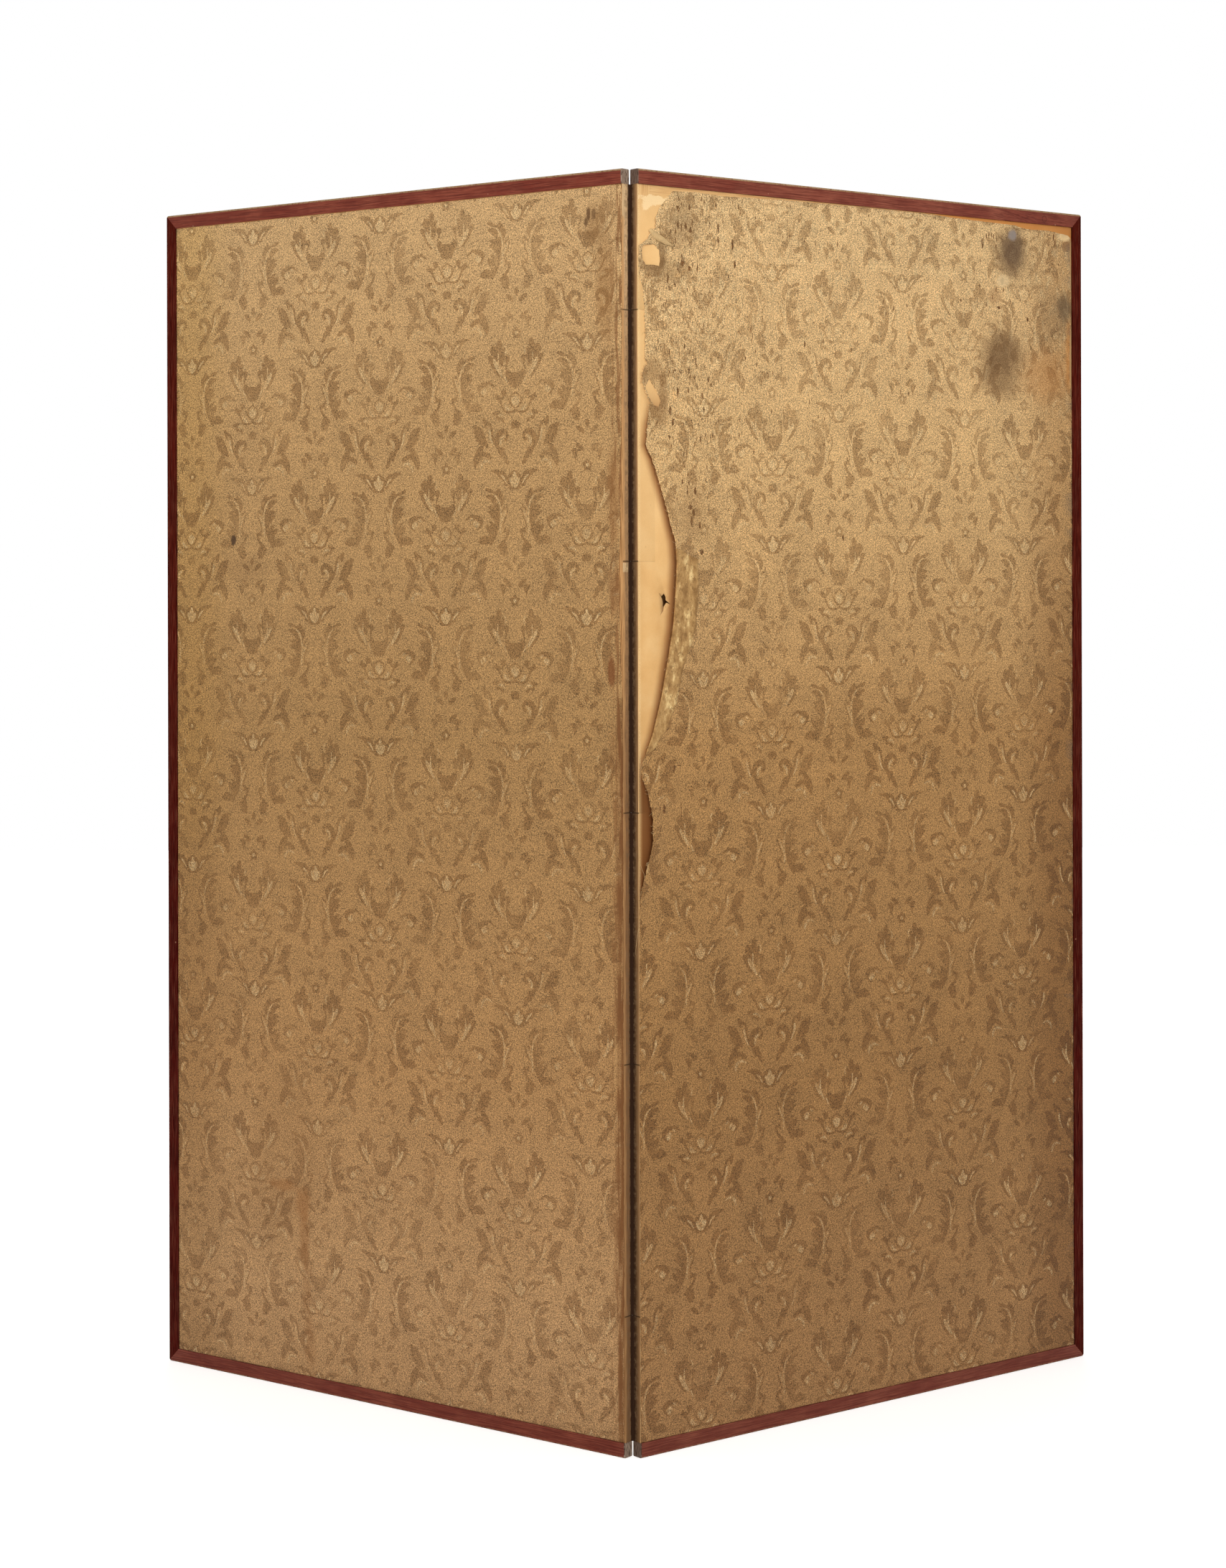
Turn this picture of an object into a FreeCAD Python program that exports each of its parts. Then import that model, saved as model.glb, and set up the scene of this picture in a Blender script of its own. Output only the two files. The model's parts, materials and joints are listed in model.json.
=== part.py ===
import FreeCAD, Part
import math
import os
import Sketcher

# A two-leaf Japanese folding screen (byobu) that stands half open.
# Millimetres, +Z up.  The origin is on the floor, in the middle of the space that the screen takes.
# The two leaves are the same leaf, one of them turned upside down, as in the real screen.
# A leaf is drawn flat: X runs from the hinge line to the outer edge, Y from the front to the back,
# and Z from one end of the leaf to the other.

# Driving sizes, kept in the sheet named dims
SIZES = {
    # The leaf as a whole, and how far each leaf stands from flat, in degrees
    "panel_width": 860.0,
    "panel_height": 1720.0,
    "half_fold": 37.9,
    # Play at the fold line: in front of the frame, beside its rails, beside the core, and round the paper folds
    "leaf_gap": 0.3,
    "rail_gap": 0.8,
    "hinge_gap": 1.2,
    "fold_play": 0.15,
    # Lacquered outer frame
    "frame_face": 20.0,
    "frame_depth": 16.5,
    "corner_radius": 4.0,
    "edge_radius": 1.6,
    # Layers of the leaf, from the front to the back
    "front_recess": 0.7,
    "border_thickness": 0.5,
    "ground_thickness": 0.4,
    "underpaper_thickness": 0.5,
    "core_thickness": 12.0,
    "cloth_thickness": 0.5,
    "border_width": 36.0,
    # Paper hinge
    "strip_thickness": 0.5,
    "lap_width": 30.0,
    "hinge_steps": 5,
    # Cedar core
    "stile_width": 32.0,
    "rail_width": 32.0,
    "lattice_width": 12.0,
    "upright_count": 6,
    "crosspiece_count": 11,
    "tenon_length": 22.0,
    "tenon_width": 20.0,
    "tenon_thickness": 4.0,
    "stub_length": 8.0,
    "joint_play": 0.1,
    # Bent nails that hold the frame to the core
    "nail_width": 2.4,
    "nail_depth": 24.0,
    "nail_stand": 7.0,
    "nail_hook": 9.0,
    "nail_play": 0.2,
    "nail_inset": 110.0,
    "rail_nails": 3,
    "stile_nails": 4,
    # The worn edge of the back cloth of the right leaf
    "tear_width": 63.0,
    "tear_length": 980.0,
}

# How far down the tear each point lies, and how wide the tear is there, as shares of its length and width
TEAR_SHARES = [
    (0.000, 1.16), (0.016, 0.92), (0.030, 0.56), (0.055, 0.48), (0.068, 0.38), (0.079, 0.60),
    (0.107, 0.60), (0.112, 0.10), (0.135, 0.17), (0.240, 0.21), (0.268, 0.13), (0.292, 0.54),
    (0.297, 0.13), (0.315, 0.30), (0.356, 0.19), (0.400, 0.52), (0.445, 0.76), (0.492, 0.92),
    (0.510, 1.00), (0.547, 0.97), (0.575, 0.92), (0.620, 0.83), (0.673, 0.68), (0.718, 0.49),
    (0.754, 0.30), (0.781, 0.13), (0.802, 0.11), (0.828, 0.21), (0.858, 0.30), (0.896, 0.32),
    (0.930, 0.22), (0.966, 0.11), (1.000, 0.04),
]

# Places in the leaf, worked out from the sizes
CORE_SIDE = "(dims.hinge_gap + dims.strip_thickness)"
CORE_OUTER = "(dims.panel_width - dims.frame_face)"
CORE_LOW = "dims.frame_face"
CORE_HIGH = "(dims.panel_height - dims.frame_face)"
CORE_TALL = f"({CORE_HIGH} - {CORE_LOW})"
BORDER_FACE = "(dims.leaf_gap + dims.front_recess)"
GROUND_FACE = f"({BORDER_FACE} + dims.border_thickness)"
UNDER_FACE = f"({GROUND_FACE} + dims.ground_thickness)"
CORE_FACE = f"({UNDER_FACE} + dims.underpaper_thickness)"
CORE_BACK = f"({CORE_FACE} + dims.core_thickness)"
UNDER_BACK = f"({CORE_BACK} + dims.underpaper_thickness)"
CORE_MIDDLE = f"({CORE_FACE} + dims.core_thickness / 2)"
BAY_LEFT = f"({CORE_SIDE} + dims.stile_width)"
BAY_RIGHT = f"({CORE_OUTER} - dims.stile_width)"
BAY_LOW = f"({CORE_LOW} + dims.rail_width)"
BAY_HIGH = f"({CORE_HIGH} - dims.rail_width)"
BAY_WIDE = f"({BAY_RIGHT} - {BAY_LEFT})"
BAY_TALL = f"({BAY_HIGH} - {BAY_LOW})"
UPRIGHT_STEP = f"({BAY_WIDE} / (dims.upright_count + 1))"
CROSS_STEP = f"({BAY_TALL} / (dims.crosspiece_count + 1))"
HINGE_STEP = f"({CORE_TALL} / dims.hinge_steps)"
RAIL_NAIL_STEP = f"(({CORE_OUTER} - {CORE_SIDE} - 2 * dims.nail_inset) / (dims.rail_nails - 1))"
STILE_NAIL_STEP = f"(({CORE_TALL} - 2 * dims.nail_inset) / (dims.stile_nails - 1))"
# The line that the leaves turn about lies this far in front of the middle of the screen's depth
FRONT_REACH = ("(dims.panel_width * sin(dims.half_fold) - dims.leaf_gap * cos(dims.half_fold)"
               " - dims.edge_radius * (sin(dims.half_fold) + cos(dims.half_fold) - 1))")
BACK_REACH = ("((dims.leaf_gap + dims.frame_depth) * cos(dims.half_fold)"
              " - dims.rail_gap * sin(dims.half_fold))")
PIVOT_Y = f"(({BACK_REACH} - {FRONT_REACH}) / 2)"

# The strips of the paper hinge, by their rank from the low end: those that wrap a leaf and those pasted to its front
WRAP_RANKS = (1, 3, 5)
FLAP_RANKS = (0, 2, 4)
HINGE_COUNT = len(WRAP_RANKS) + len(FLAP_RANKS)

# Two places closer than this, in millimetres, are the same place
TOUCHING = 1e-6

# Which way a sketch on each plane of a leaf faces along its axis
FACING = {"XY_Plane": 1, "YZ_Plane": 1, "XZ_Plane": -1}

doc = FreeCAD.newDocument("folding_screen")
sheet = doc.addObject("Spreadsheet::Sheet", "dims")
for row, (name, value) in enumerate(SIZES.items(), start=1):
    sheet.set(f"A{row}", name)
    sheet.set(f"B{row}", str(value))
    sheet.setAlias(f"B{row}", name)
doc.recompute()

nodes = []


def measure(expression):
    """The value of an expression on the sheet."""
    result = sheet.evalExpression(expression)
    return float(getattr(result, "Value", result))


class Leaf:
    """One leaf: its name, how its ends are called, and how it stands."""

    def __init__(self, name, low_end, high_end):
        self.name = name
        self.low_end = low_end
        self.high_end = high_end
        turn = measure("dims.half_fold")
        upright = FreeCAD.Rotation(FreeCAD.Vector(0, 0, 1), 180 - turn)
        turned_over = FreeCAD.Rotation(FreeCAD.Vector(0, 0, 1), turn)
        turned_over = turned_over.multiply(FreeCAD.Rotation(FreeCAD.Vector(1, 0, 0), 180))
        self.flipped = name == "right"
        self.rotation = turned_over if self.flipped else upright
        self.base = FreeCAD.Vector(0, measure(PIVOT_Y), measure("dims.panel_height") if self.flipped else 0)

    def hinge_number(self, rank):
        """Hinges are numbered from the top of the screen; rank counts steps from the leaf's low end."""
        return rank + 1 if self.flipped else HINGE_COUNT - rank


def new_body(leaf, label):
    """An empty body that stands with its leaf and gives the node of the same name."""
    body = doc.addObject("PartDesign::Body", label)
    body.Label = label
    body.AllowCompound = True
    body.Placement = FreeCAD.Placement(leaf.base, leaf.rotation)
    nodes.append(body)
    return body


def origin_feature(body, role):
    """One of the body's own planes or axes."""
    for feature in body.Origin.OriginFeatures:
        if feature.Role == role:
            return feature
    raise ValueError(role)


def outline(body, plane, level, corners):
    """A closed sketch. A corner is (x, y), or (x, y, centre x, centre y, radius) where an arc follows it."""
    sketch = body.newObject("Sketcher::SketchObject", body.Label + "_sketch")
    sketch.AttachmentSupport = [(origin_feature(body, plane), "")]
    sketch.MapMode = "FlatFace"
    sketch.setExpression("AttachmentOffset.Base.z", f"{FACING[plane]} * ({level})")
    points = [FreeCAD.Vector(measure(corner[0]), measure(corner[1]), 0) for corner in corners]
    count = len(corners)
    for index, corner in enumerate(corners):
        start = points[index]
        end = points[(index + 1) % count]
        if len(corner) == 2:
            sketch.addGeometry(Part.LineSegment(start, end))
            continue
        centre = FreeCAD.Vector(measure(corner[2]), measure(corner[3]), 0)
        first = math.atan2(start.y - centre.y, start.x - centre.x)
        last = math.atan2(end.y - centre.y, end.x - centre.x)
        if last < first:
            last += 2 * math.pi
        circle = Part.Circle(centre, FreeCAD.Vector(0, 0, 1), measure(corner[4]))
        sketch.addGeometry(Part.ArcOfCircle(circle, first, last))
    for index in range(count):
        sketch.addConstraint(Sketcher.Constraint("Coincident", index, 2, (index + 1) % count, 1))
    for index, corner in enumerate(corners):
        across = sketch.addConstraint(Sketcher.Constraint("DistanceX", -1, 1, index, 1, points[index].x))
        sketch.setExpression(f"Constraints[{across}]", corner[0])
        along = sketch.addConstraint(Sketcher.Constraint("DistanceY", -1, 1, index, 1, points[index].y))
        sketch.setExpression(f"Constraints[{along}]", corner[1])
        if len(corner) > 2:
            bend = sketch.addConstraint(Sketcher.Constraint("Radius", index, measure(corner[4])))
            sketch.setExpression(f"Constraints[{bend}]", corner[4])
    return sketch


def rectangle(left, low, right, high):
    """The four corners of a rectangle, for outline()."""
    return [(left, low), (right, low), (right, high), (left, high)]


def pad(body, plane, level, corners, length):
    """Material that grows along the plane's axis from the level given."""
    sketch = outline(body, plane, level, corners)
    feature = body.newObject("PartDesign::Pad", body.Label + "_pad")
    feature.Profile = sketch
    feature.setExpression("Length", length)
    feature.Reversed = FACING[plane] < 0
    body.Tip = feature
    return feature


def pocket(body, plane, level, corners, depth, direction):
    """A cut along the plane's axis from the level given: direction is 1 up the axis, -1 down it."""
    sketch = outline(body, plane, level, corners)
    feature = body.newObject("PartDesign::Pocket", body.Label + "_pocket")
    feature.Profile = sketch
    feature.setExpression("Length", depth)
    feature.Reversed = FACING[plane] == direction
    body.Tip = feature
    return feature


def repeat(body, features, axis, step, count):
    """Copies of the features in a row along one of the body's axes."""
    pattern = body.newObject("PartDesign::LinearPattern", body.Label + "_row")
    pattern.Originals = features
    pattern.Direction = (origin_feature(body, axis), [""])
    pattern.setExpression("Length", f"({step}) * ({count} - 1)")
    pattern.setExpression("Occurrences", count)
    body.Tip = pattern
    return pattern


# Lacquered outer frame: two rails and a stile with mitred corners, and no stile on the hinge side
ROUND_IN = "(dims.corner_radius * (1 - cos(45)))"
NAIL_ROOM = "(dims.nail_width / 2 + dims.nail_play)"
HOOK_ROOM = "(dims.nail_hook + dims.nail_play)"
FRAME_MIDDLE = "(dims.leaf_gap + dims.frame_depth / 2)"


def round_outer_edges(body, feature, on_edge):
    """Rounds the long outer edges, and the bends that join them, at the front and the back."""
    doc.recompute()
    names = []
    for index, edge in enumerate(feature.Shape.Edges, start=1):
        lies_flat = edge.BoundBox.YLength < measure("dims.edge_radius")
        bend = isinstance(edge.Curve, Part.Circle)
        if lies_flat and (bend or all(on_edge(vertex.Point) for vertex in edge.Vertexes)):
            names.append(f"Edge{index}")
    fillet = body.newObject("PartDesign::Fillet", body.Label + "_round")
    fillet.Base = (feature, names)
    fillet.setExpression("Radius", "dims.edge_radius")
    body.Tip = fillet
    return fillet


def frame_rail(leaf, high):
    """A rail of the frame at the low or the high end, with slots for the bent nails."""
    end = leaf.high_end if high else leaf.low_end
    body = new_body(leaf, f"{leaf.name}_frame_{end}")
    radius = "dims.corner_radius"
    bend_x = f"dims.panel_width - {radius}"
    mitre_x = f"dims.panel_width - {ROUND_IN}"
    if high:
        corners = [
            ("dims.rail_gap", CORE_HIGH),
            (CORE_OUTER, CORE_HIGH),
            (mitre_x, f"dims.panel_height - {ROUND_IN}", bend_x, f"dims.panel_height - {radius}", radius),
            (bend_x, "dims.panel_height"),
            ("dims.rail_gap", "dims.panel_height"),
        ]
    else:
        corners = [
            ("dims.rail_gap", "0"),
            (bend_x, "0", bend_x, radius, radius),
            (mitre_x, ROUND_IN),
            (CORE_OUTER, CORE_LOW),
            ("dims.rail_gap", CORE_LOW),
        ]
    solid = pad(body, "XZ_Plane", "dims.leaf_gap", corners, "dims.frame_depth")
    outer_z = measure("dims.panel_height") if high else 0.0
    round_outer_edges(body, solid, lambda point: math.isclose(point.z, outer_z, abs_tol=TOUCHING))
    first = f"({CORE_SIDE} + dims.nail_inset)"
    slot = rectangle(f"{first} - {NAIL_ROOM}", f"{CORE_MIDDLE} - {NAIL_ROOM}",
                     f"{first} + {HOOK_ROOM}", f"{CORE_MIDDLE} + {NAIL_ROOM}")
    level = CORE_HIGH if high else CORE_LOW
    cut = pocket(body, "XY_Plane", level, slot, "dims.nail_stand + dims.nail_play", 1 if high else -1)
    repeat(body, [cut], "X_Axis", RAIL_NAIL_STEP, "dims.rail_nails")


def frame_stile(leaf):
    """The outer stile of the frame, mitred to both rails."""
    body = new_body(leaf, f"{leaf.name}_frame_stile")
    radius = "dims.corner_radius"
    bend_x = f"dims.panel_width - {radius}"
    mitre_x = f"dims.panel_width - {ROUND_IN}"
    high_bend = f"dims.panel_height - {radius}"
    corners = [
        (CORE_OUTER, CORE_LOW),
        (mitre_x, ROUND_IN, bend_x, radius, radius),
        ("dims.panel_width", radius),
        ("dims.panel_width", high_bend, bend_x, high_bend, radius),
        (mitre_x, f"dims.panel_height - {ROUND_IN}"),
        (CORE_OUTER, CORE_HIGH),
    ]
    solid = pad(body, "XZ_Plane", "dims.leaf_gap", corners, "dims.frame_depth")
    outer_x = measure("dims.panel_width")
    round_outer_edges(body, solid, lambda point: math.isclose(point.x, outer_x, abs_tol=TOUCHING))
    first = f"({CORE_LOW} + dims.nail_inset)"
    slot = rectangle(f"{CORE_MIDDLE} - {NAIL_ROOM}", f"{first} - {NAIL_ROOM}",
                     f"{CORE_MIDDLE} + {NAIL_ROOM}", f"{first} + {HOOK_ROOM}")
    cut = pocket(body, "YZ_Plane", CORE_OUTER, slot, "dims.nail_stand + dims.nail_play", 1)
    repeat(body, [cut], "Z_Axis", STILE_NAIL_STEP, "dims.stile_nails")


def frame_nails(leaf):
    """Bent nails: a tapered shank in the core and a hook that lies in the frame's slot."""
    body = new_body(leaf, f"{leaf.name}_frame_nails")
    half = "dims.nail_width / 2"
    front = f"{CORE_MIDDLE} - {half}"
    first_x = f"({CORE_SIDE} + dims.nail_inset)"
    first_z = f"({CORE_LOW} + dims.nail_inset)"
    for level, sign in ((CORE_LOW, 1), (CORE_HIGH, -1)):
        corners = [
            (f"{first_x} - {half}", f"{level} - {sign} * dims.nail_stand"),
            (f"{first_x} + dims.nail_hook", f"{level} - {sign} * dims.nail_stand"),
            (f"{first_x} + dims.nail_hook", f"{level} - {sign} * (dims.nail_stand - dims.nail_width)"),
            (f"{first_x} + {half}", f"{level} - {sign} * (dims.nail_stand - dims.nail_width)"),
            (f"{first_x} + {half}", level),
            (first_x, f"{level} + {sign} * dims.nail_depth"),
            (f"{first_x} - {half}", level),
        ]
        nail = pad(body, "XZ_Plane", front, corners, "dims.nail_width")
        repeat(body, [nail], "X_Axis", RAIL_NAIL_STEP, "dims.rail_nails")
    corners = [
        (f"{CORE_OUTER} + dims.nail_stand", f"{first_z} - {half}"),
        (f"{CORE_OUTER} + dims.nail_stand", f"{first_z} + dims.nail_hook"),
        (f"{CORE_OUTER} + dims.nail_stand - dims.nail_width", f"{first_z} + dims.nail_hook"),
        (f"{CORE_OUTER} + dims.nail_stand - dims.nail_width", f"{first_z} + {half}"),
        (CORE_OUTER, f"{first_z} + {half}"),
        (f"{CORE_OUTER} - dims.nail_depth", first_z),
        (CORE_OUTER, f"{first_z} - {half}"),
    ]
    nail = pad(body, "XZ_Plane", front, corners, "dims.nail_width")
    repeat(body, [nail], "Z_Axis", STILE_NAIL_STEP, "dims.stile_nails")


# Cedar core: stiles and rails with tenons, and a lattice that is half-lapped at every crossing
TENON_ROOM = "(dims.tenon_thickness / 2 + dims.joint_play)"
STUB_ROOM = "(dims.lattice_width / 2 + dims.joint_play)"
TENON_FACE = f"{CORE_MIDDLE} - dims.tenon_thickness / 2"


def core_stile(leaf, outer):
    """A stile of the core, mortised for both rails and for every crosspiece."""
    body = new_body(leaf, f"{leaf.name}_core_stile_{'outer' if outer else 'hinge'}")
    left, right = (BAY_RIGHT, CORE_OUTER) if outer else (CORE_SIDE, BAY_LEFT)
    pad(body, "XZ_Plane", CORE_FACE, rectangle(left, CORE_LOW, right, CORE_HIGH), "dims.core_thickness")
    inner, direction = (BAY_RIGHT, 1) if outer else (BAY_LEFT, -1)
    near = f"{CORE_MIDDLE} - {TENON_ROOM}"
    far = f"{CORE_MIDDLE} + {TENON_ROOM}"
    play = "dims.joint_play"
    for middle in (f"({CORE_LOW} + dims.rail_width / 2)", f"({CORE_HIGH} - dims.rail_width / 2)"):
        mortise = rectangle(near, f"{middle} - dims.tenon_width / 2 - {play}",
                            far, f"{middle} + dims.tenon_width / 2 + {play}")
        pocket(body, "YZ_Plane", inner, mortise, f"dims.tenon_length + {play}", direction)
    first = f"({BAY_LOW} + {CROSS_STEP})"
    stub = rectangle(near, f"{first} - {STUB_ROOM}", far, f"{first} + {STUB_ROOM}")
    cut = pocket(body, "YZ_Plane", inner, stub, f"dims.stub_length + {play}", direction)
    repeat(body, [cut], "Z_Axis", CROSS_STEP, "dims.crosspiece_count")
    if outer:
        low = f"({CORE_LOW} + dims.nail_inset)"
        hole = rectangle(f"{CORE_MIDDLE} - {NAIL_ROOM}", f"{low} - {NAIL_ROOM}",
                         f"{CORE_MIDDLE} + {NAIL_ROOM}", f"{low} + {NAIL_ROOM}")
        cut = pocket(body, "YZ_Plane", CORE_OUTER, hole, f"dims.nail_depth + dims.nail_play", -1)
        repeat(body, [cut], "Z_Axis", STILE_NAIL_STEP, "dims.stile_nails")


def core_rail(leaf, high):
    """A rail of the core: tenons into both stiles, mortises for the uprights, holes for the nails."""
    body = new_body(leaf, f"{leaf.name}_core_rail_{leaf.high_end if high else leaf.low_end}")
    low, top = (BAY_HIGH, CORE_HIGH) if high else (CORE_LOW, BAY_LOW)
    pad(body, "XZ_Plane", CORE_FACE, rectangle(BAY_LEFT, low, BAY_RIGHT, top), "dims.core_thickness")
    middle = f"({low} + dims.rail_width / 2)"
    tenons = rectangle(f"{BAY_LEFT} - dims.tenon_length", f"{middle} - dims.tenon_width / 2",
                       f"{BAY_RIGHT} + dims.tenon_length", f"{middle} + dims.tenon_width / 2")
    pad(body, "XZ_Plane", TENON_FACE, tenons, "dims.tenon_thickness")
    first = f"({BAY_LEFT} + {UPRIGHT_STEP})"
    stub = rectangle(f"{first} - {STUB_ROOM}", f"{CORE_MIDDLE} - {TENON_ROOM}",
                     f"{first} + {STUB_ROOM}", f"{CORE_MIDDLE} + {TENON_ROOM}")
    inner, direction = (BAY_HIGH, 1) if high else (BAY_LOW, -1)
    cut = pocket(body, "XY_Plane", inner, stub, "dims.stub_length + dims.joint_play", direction)
    repeat(body, [cut], "X_Axis", UPRIGHT_STEP, "dims.upright_count")
    first = f"({CORE_SIDE} + dims.nail_inset)"
    hole = rectangle(f"{first} - {NAIL_ROOM}", f"{CORE_MIDDLE} - {NAIL_ROOM}",
                     f"{first} + {NAIL_ROOM}", f"{CORE_MIDDLE} + {NAIL_ROOM}")
    outer = CORE_HIGH if high else CORE_LOW
    cut = pocket(body, "XY_Plane", outer, hole, "dims.nail_depth + dims.nail_play", -direction)
    repeat(body, [cut], "X_Axis", RAIL_NAIL_STEP, "dims.rail_nails")


def lattice_uprights(leaf):
    """Uprights with stub tenons, notched from the back to half their depth for every crosspiece."""
    body = new_body(leaf, f"{leaf.name}_lattice_uprights")
    first = f"({BAY_LEFT} + {UPRIGHT_STEP})"
    left = f"{first} - dims.lattice_width / 2"
    right = f"{first} + dims.lattice_width / 2"
    bar = pad(body, "XZ_Plane", CORE_FACE, rectangle(left, BAY_LOW, right, BAY_HIGH), "dims.core_thickness")
    stubs = rectangle(left, f"{BAY_LOW} - dims.stub_length", right, f"{BAY_HIGH} + dims.stub_length")
    tenon = pad(body, "XZ_Plane", TENON_FACE, stubs, "dims.tenon_thickness")
    repeat(body, [bar, tenon], "X_Axis", UPRIGHT_STEP, "dims.upright_count")
    crossing = f"({BAY_LOW} + {CROSS_STEP})"
    notch = rectangle(BAY_LEFT, f"{crossing} - {STUB_ROOM}", BAY_RIGHT, f"{crossing} + {STUB_ROOM}")
    cut = pocket(body, "XZ_Plane", CORE_MIDDLE, notch, "dims.core_thickness", 1)
    repeat(body, [cut], "Z_Axis", CROSS_STEP, "dims.crosspiece_count")


def lattice_crosspieces(leaf):
    """Crosspieces with stub tenons, notched from the front to half their depth for every upright."""
    body = new_body(leaf, f"{leaf.name}_lattice_crosspieces")
    first = f"({BAY_LOW} + {CROSS_STEP})"
    low = f"{first} - dims.lattice_width / 2"
    high = f"{first} + dims.lattice_width / 2"
    bar = pad(body, "XZ_Plane", CORE_FACE, rectangle(BAY_LEFT, low, BAY_RIGHT, high), "dims.core_thickness")
    stubs = rectangle(f"{BAY_LEFT} - dims.stub_length", low, f"{BAY_RIGHT} + dims.stub_length", high)
    tenon = pad(body, "XZ_Plane", TENON_FACE, stubs, "dims.tenon_thickness")
    repeat(body, [bar, tenon], "Z_Axis", CROSS_STEP, "dims.crosspiece_count")
    crossing = f"({BAY_LEFT} + {UPRIGHT_STEP})"
    notch = rectangle(f"{crossing} - {STUB_ROOM}", BAY_LOW, f"{crossing} + {STUB_ROOM}", BAY_HIGH)
    cut = pocket(body, "XZ_Plane", CORE_MIDDLE, notch, "dims.core_thickness", -1)
    repeat(body, [cut], "X_Axis", UPRIGHT_STEP, "dims.upright_count")


# Skins: paper on both faces of the core, cloth on the back, ground paper and a cloth border on the front
def back_underpaper(leaf):
    """Paper on the back of the core, cut away where the laps of the hinge strips lie."""
    body = new_body(leaf, f"{leaf.name}_back_underpaper")
    sheet_corners = rectangle(CORE_SIDE, CORE_LOW, CORE_OUTER, CORE_HIGH)
    pad(body, "XZ_Plane", CORE_BACK, sheet_corners, "dims.underpaper_thickness")
    first = f"({CORE_LOW} + {HINGE_STEP} / 2)"
    lap = rectangle("0", first, "dims.lap_width", f"{first} + {HINGE_STEP}")
    cut = pocket(body, "XZ_Plane", CORE_BACK, lap, "dims.underpaper_thickness", 1)
    repeat(body, [cut], "Z_Axis", f"2 * {HINGE_STEP}", "ceil(dims.hinge_steps / 2)")


def whole_sheet(leaf, label, left, level, thickness):
    """A sheet that covers the leaf inside the frame."""
    body = new_body(leaf, f"{leaf.name}_{label}")
    pad(body, "XZ_Plane", level, rectangle(left, CORE_LOW, CORE_OUTER, CORE_HIGH), thickness)
    return body


def back_cloth(leaf, torn):
    """Figured cloth on the back; on the right leaf its hinge edge is worn away."""
    body = whole_sheet(leaf, "back_cloth", "dims.hinge_gap", UNDER_BACK, "dims.cloth_thickness")
    if torn:
        worn = [(f"dims.hinge_gap + dims.tear_width * {wide}", f"{CORE_LOW} + dims.tear_length * {down}")
                for down, wide in TEAR_SHARES]
        corners = [("0", CORE_LOW)] + worn + [("0", f"{CORE_LOW} + dims.tear_length")]
        pocket(body, "XZ_Plane", UNDER_BACK, corners, "dims.cloth_thickness", 1)


def front_border(leaf):
    """A brocade border round the front, open on the hinge side."""
    body = new_body(leaf, f"{leaf.name}_front_border")
    start = CORE_SIDE
    inner_low = f"{CORE_LOW} + dims.border_width"
    inner_high = f"{CORE_HIGH} - dims.border_width"
    inner_side = f"{CORE_OUTER} - dims.border_width"
    corners = [
        (start, CORE_LOW),
        (CORE_OUTER, CORE_LOW),
        (CORE_OUTER, CORE_HIGH),
        (start, CORE_HIGH),
        (start, inner_high),
        (inner_side, inner_high),
        (inner_side, inner_low),
        (start, inner_low),
    ]
    pad(body, "XZ_Plane", BORDER_FACE, corners, "dims.border_thickness")


# Paper hinge: strips that pass from the front of one leaf to the side and the back of the other, in turns.
# Each strip is creased at the fold line, where its two parts come nose to nose.
NOSE = "(dims.fold_play + dims.strip_thickness)"

def hinge_wrap(leaf, rank):
    """The part of a strip that covers the side of this leaf and laps on to its back."""
    body = new_body(leaf, f"hinge_{leaf.hinge_number(rank)}_wrap")
    low = f"({CORE_LOW} + {HINGE_STEP} * ({rank} - 0.5))"
    high = f"min({low} + {HINGE_STEP}; {CORE_HIGH})"
    corners = [
        ("dims.fold_play", "dims.fold_play"),
        (NOSE, "dims.fold_play"),
        (CORE_SIDE, f"{CORE_SIDE} - dims.strip_thickness"),
        (CORE_SIDE, CORE_BACK),
        ("dims.lap_width", CORE_BACK),
        ("dims.lap_width", UNDER_BACK),
        ("dims.hinge_gap", UNDER_BACK),
        ("dims.hinge_gap", "dims.hinge_gap + dims.strip_thickness"),
        ("dims.fold_play", NOSE),
    ]
    pad(body, "XY_Plane", low, corners, f"{high} - {low}")


def hinge_flap(leaf, rank):
    """The end of a strip, pasted to the front of this leaf and covered by the border at the leaf's end."""
    body = new_body(leaf, f"hinge_{leaf.hinge_number(rank)}_flap")
    low = f"max({CORE_LOW} + {HINGE_STEP} * ({rank} - 0.5); {CORE_LOW} + dims.border_width)"
    high = f"({CORE_LOW} + {HINGE_STEP} * ({rank} + 0.5))"
    corners = [
        ("dims.fold_play", "dims.fold_play"),
        (NOSE, "dims.fold_play"),
        (f"{BORDER_FACE} + dims.strip_thickness", BORDER_FACE),
        ("dims.lap_width", BORDER_FACE),
        ("dims.lap_width", GROUND_FACE),
        (f"{GROUND_FACE} - dims.strip_thickness", GROUND_FACE),
        ("dims.fold_play", NOSE),
    ]
    pad(body, "XY_Plane", low, corners, f"{high} - {low}")


def side_facing(leaf):
    """Paper on the side of the core, between the hinge strips that wrap it."""
    body = new_body(leaf, f"{leaf.name}_side_facing")
    side = rectangle("dims.hinge_gap", GROUND_FACE, CORE_SIDE, UNDER_BACK)
    pad(body, "XY_Plane", CORE_LOW, side, f"{HINGE_STEP} / 2")
    strip = pad(body, "XY_Plane", f"{CORE_LOW} + 1.5 * {HINGE_STEP}", side, HINGE_STEP)
    repeat(body, [strip], "Z_Axis", f"2 * {HINGE_STEP}", "floor(dims.hinge_steps / 2)")


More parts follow.
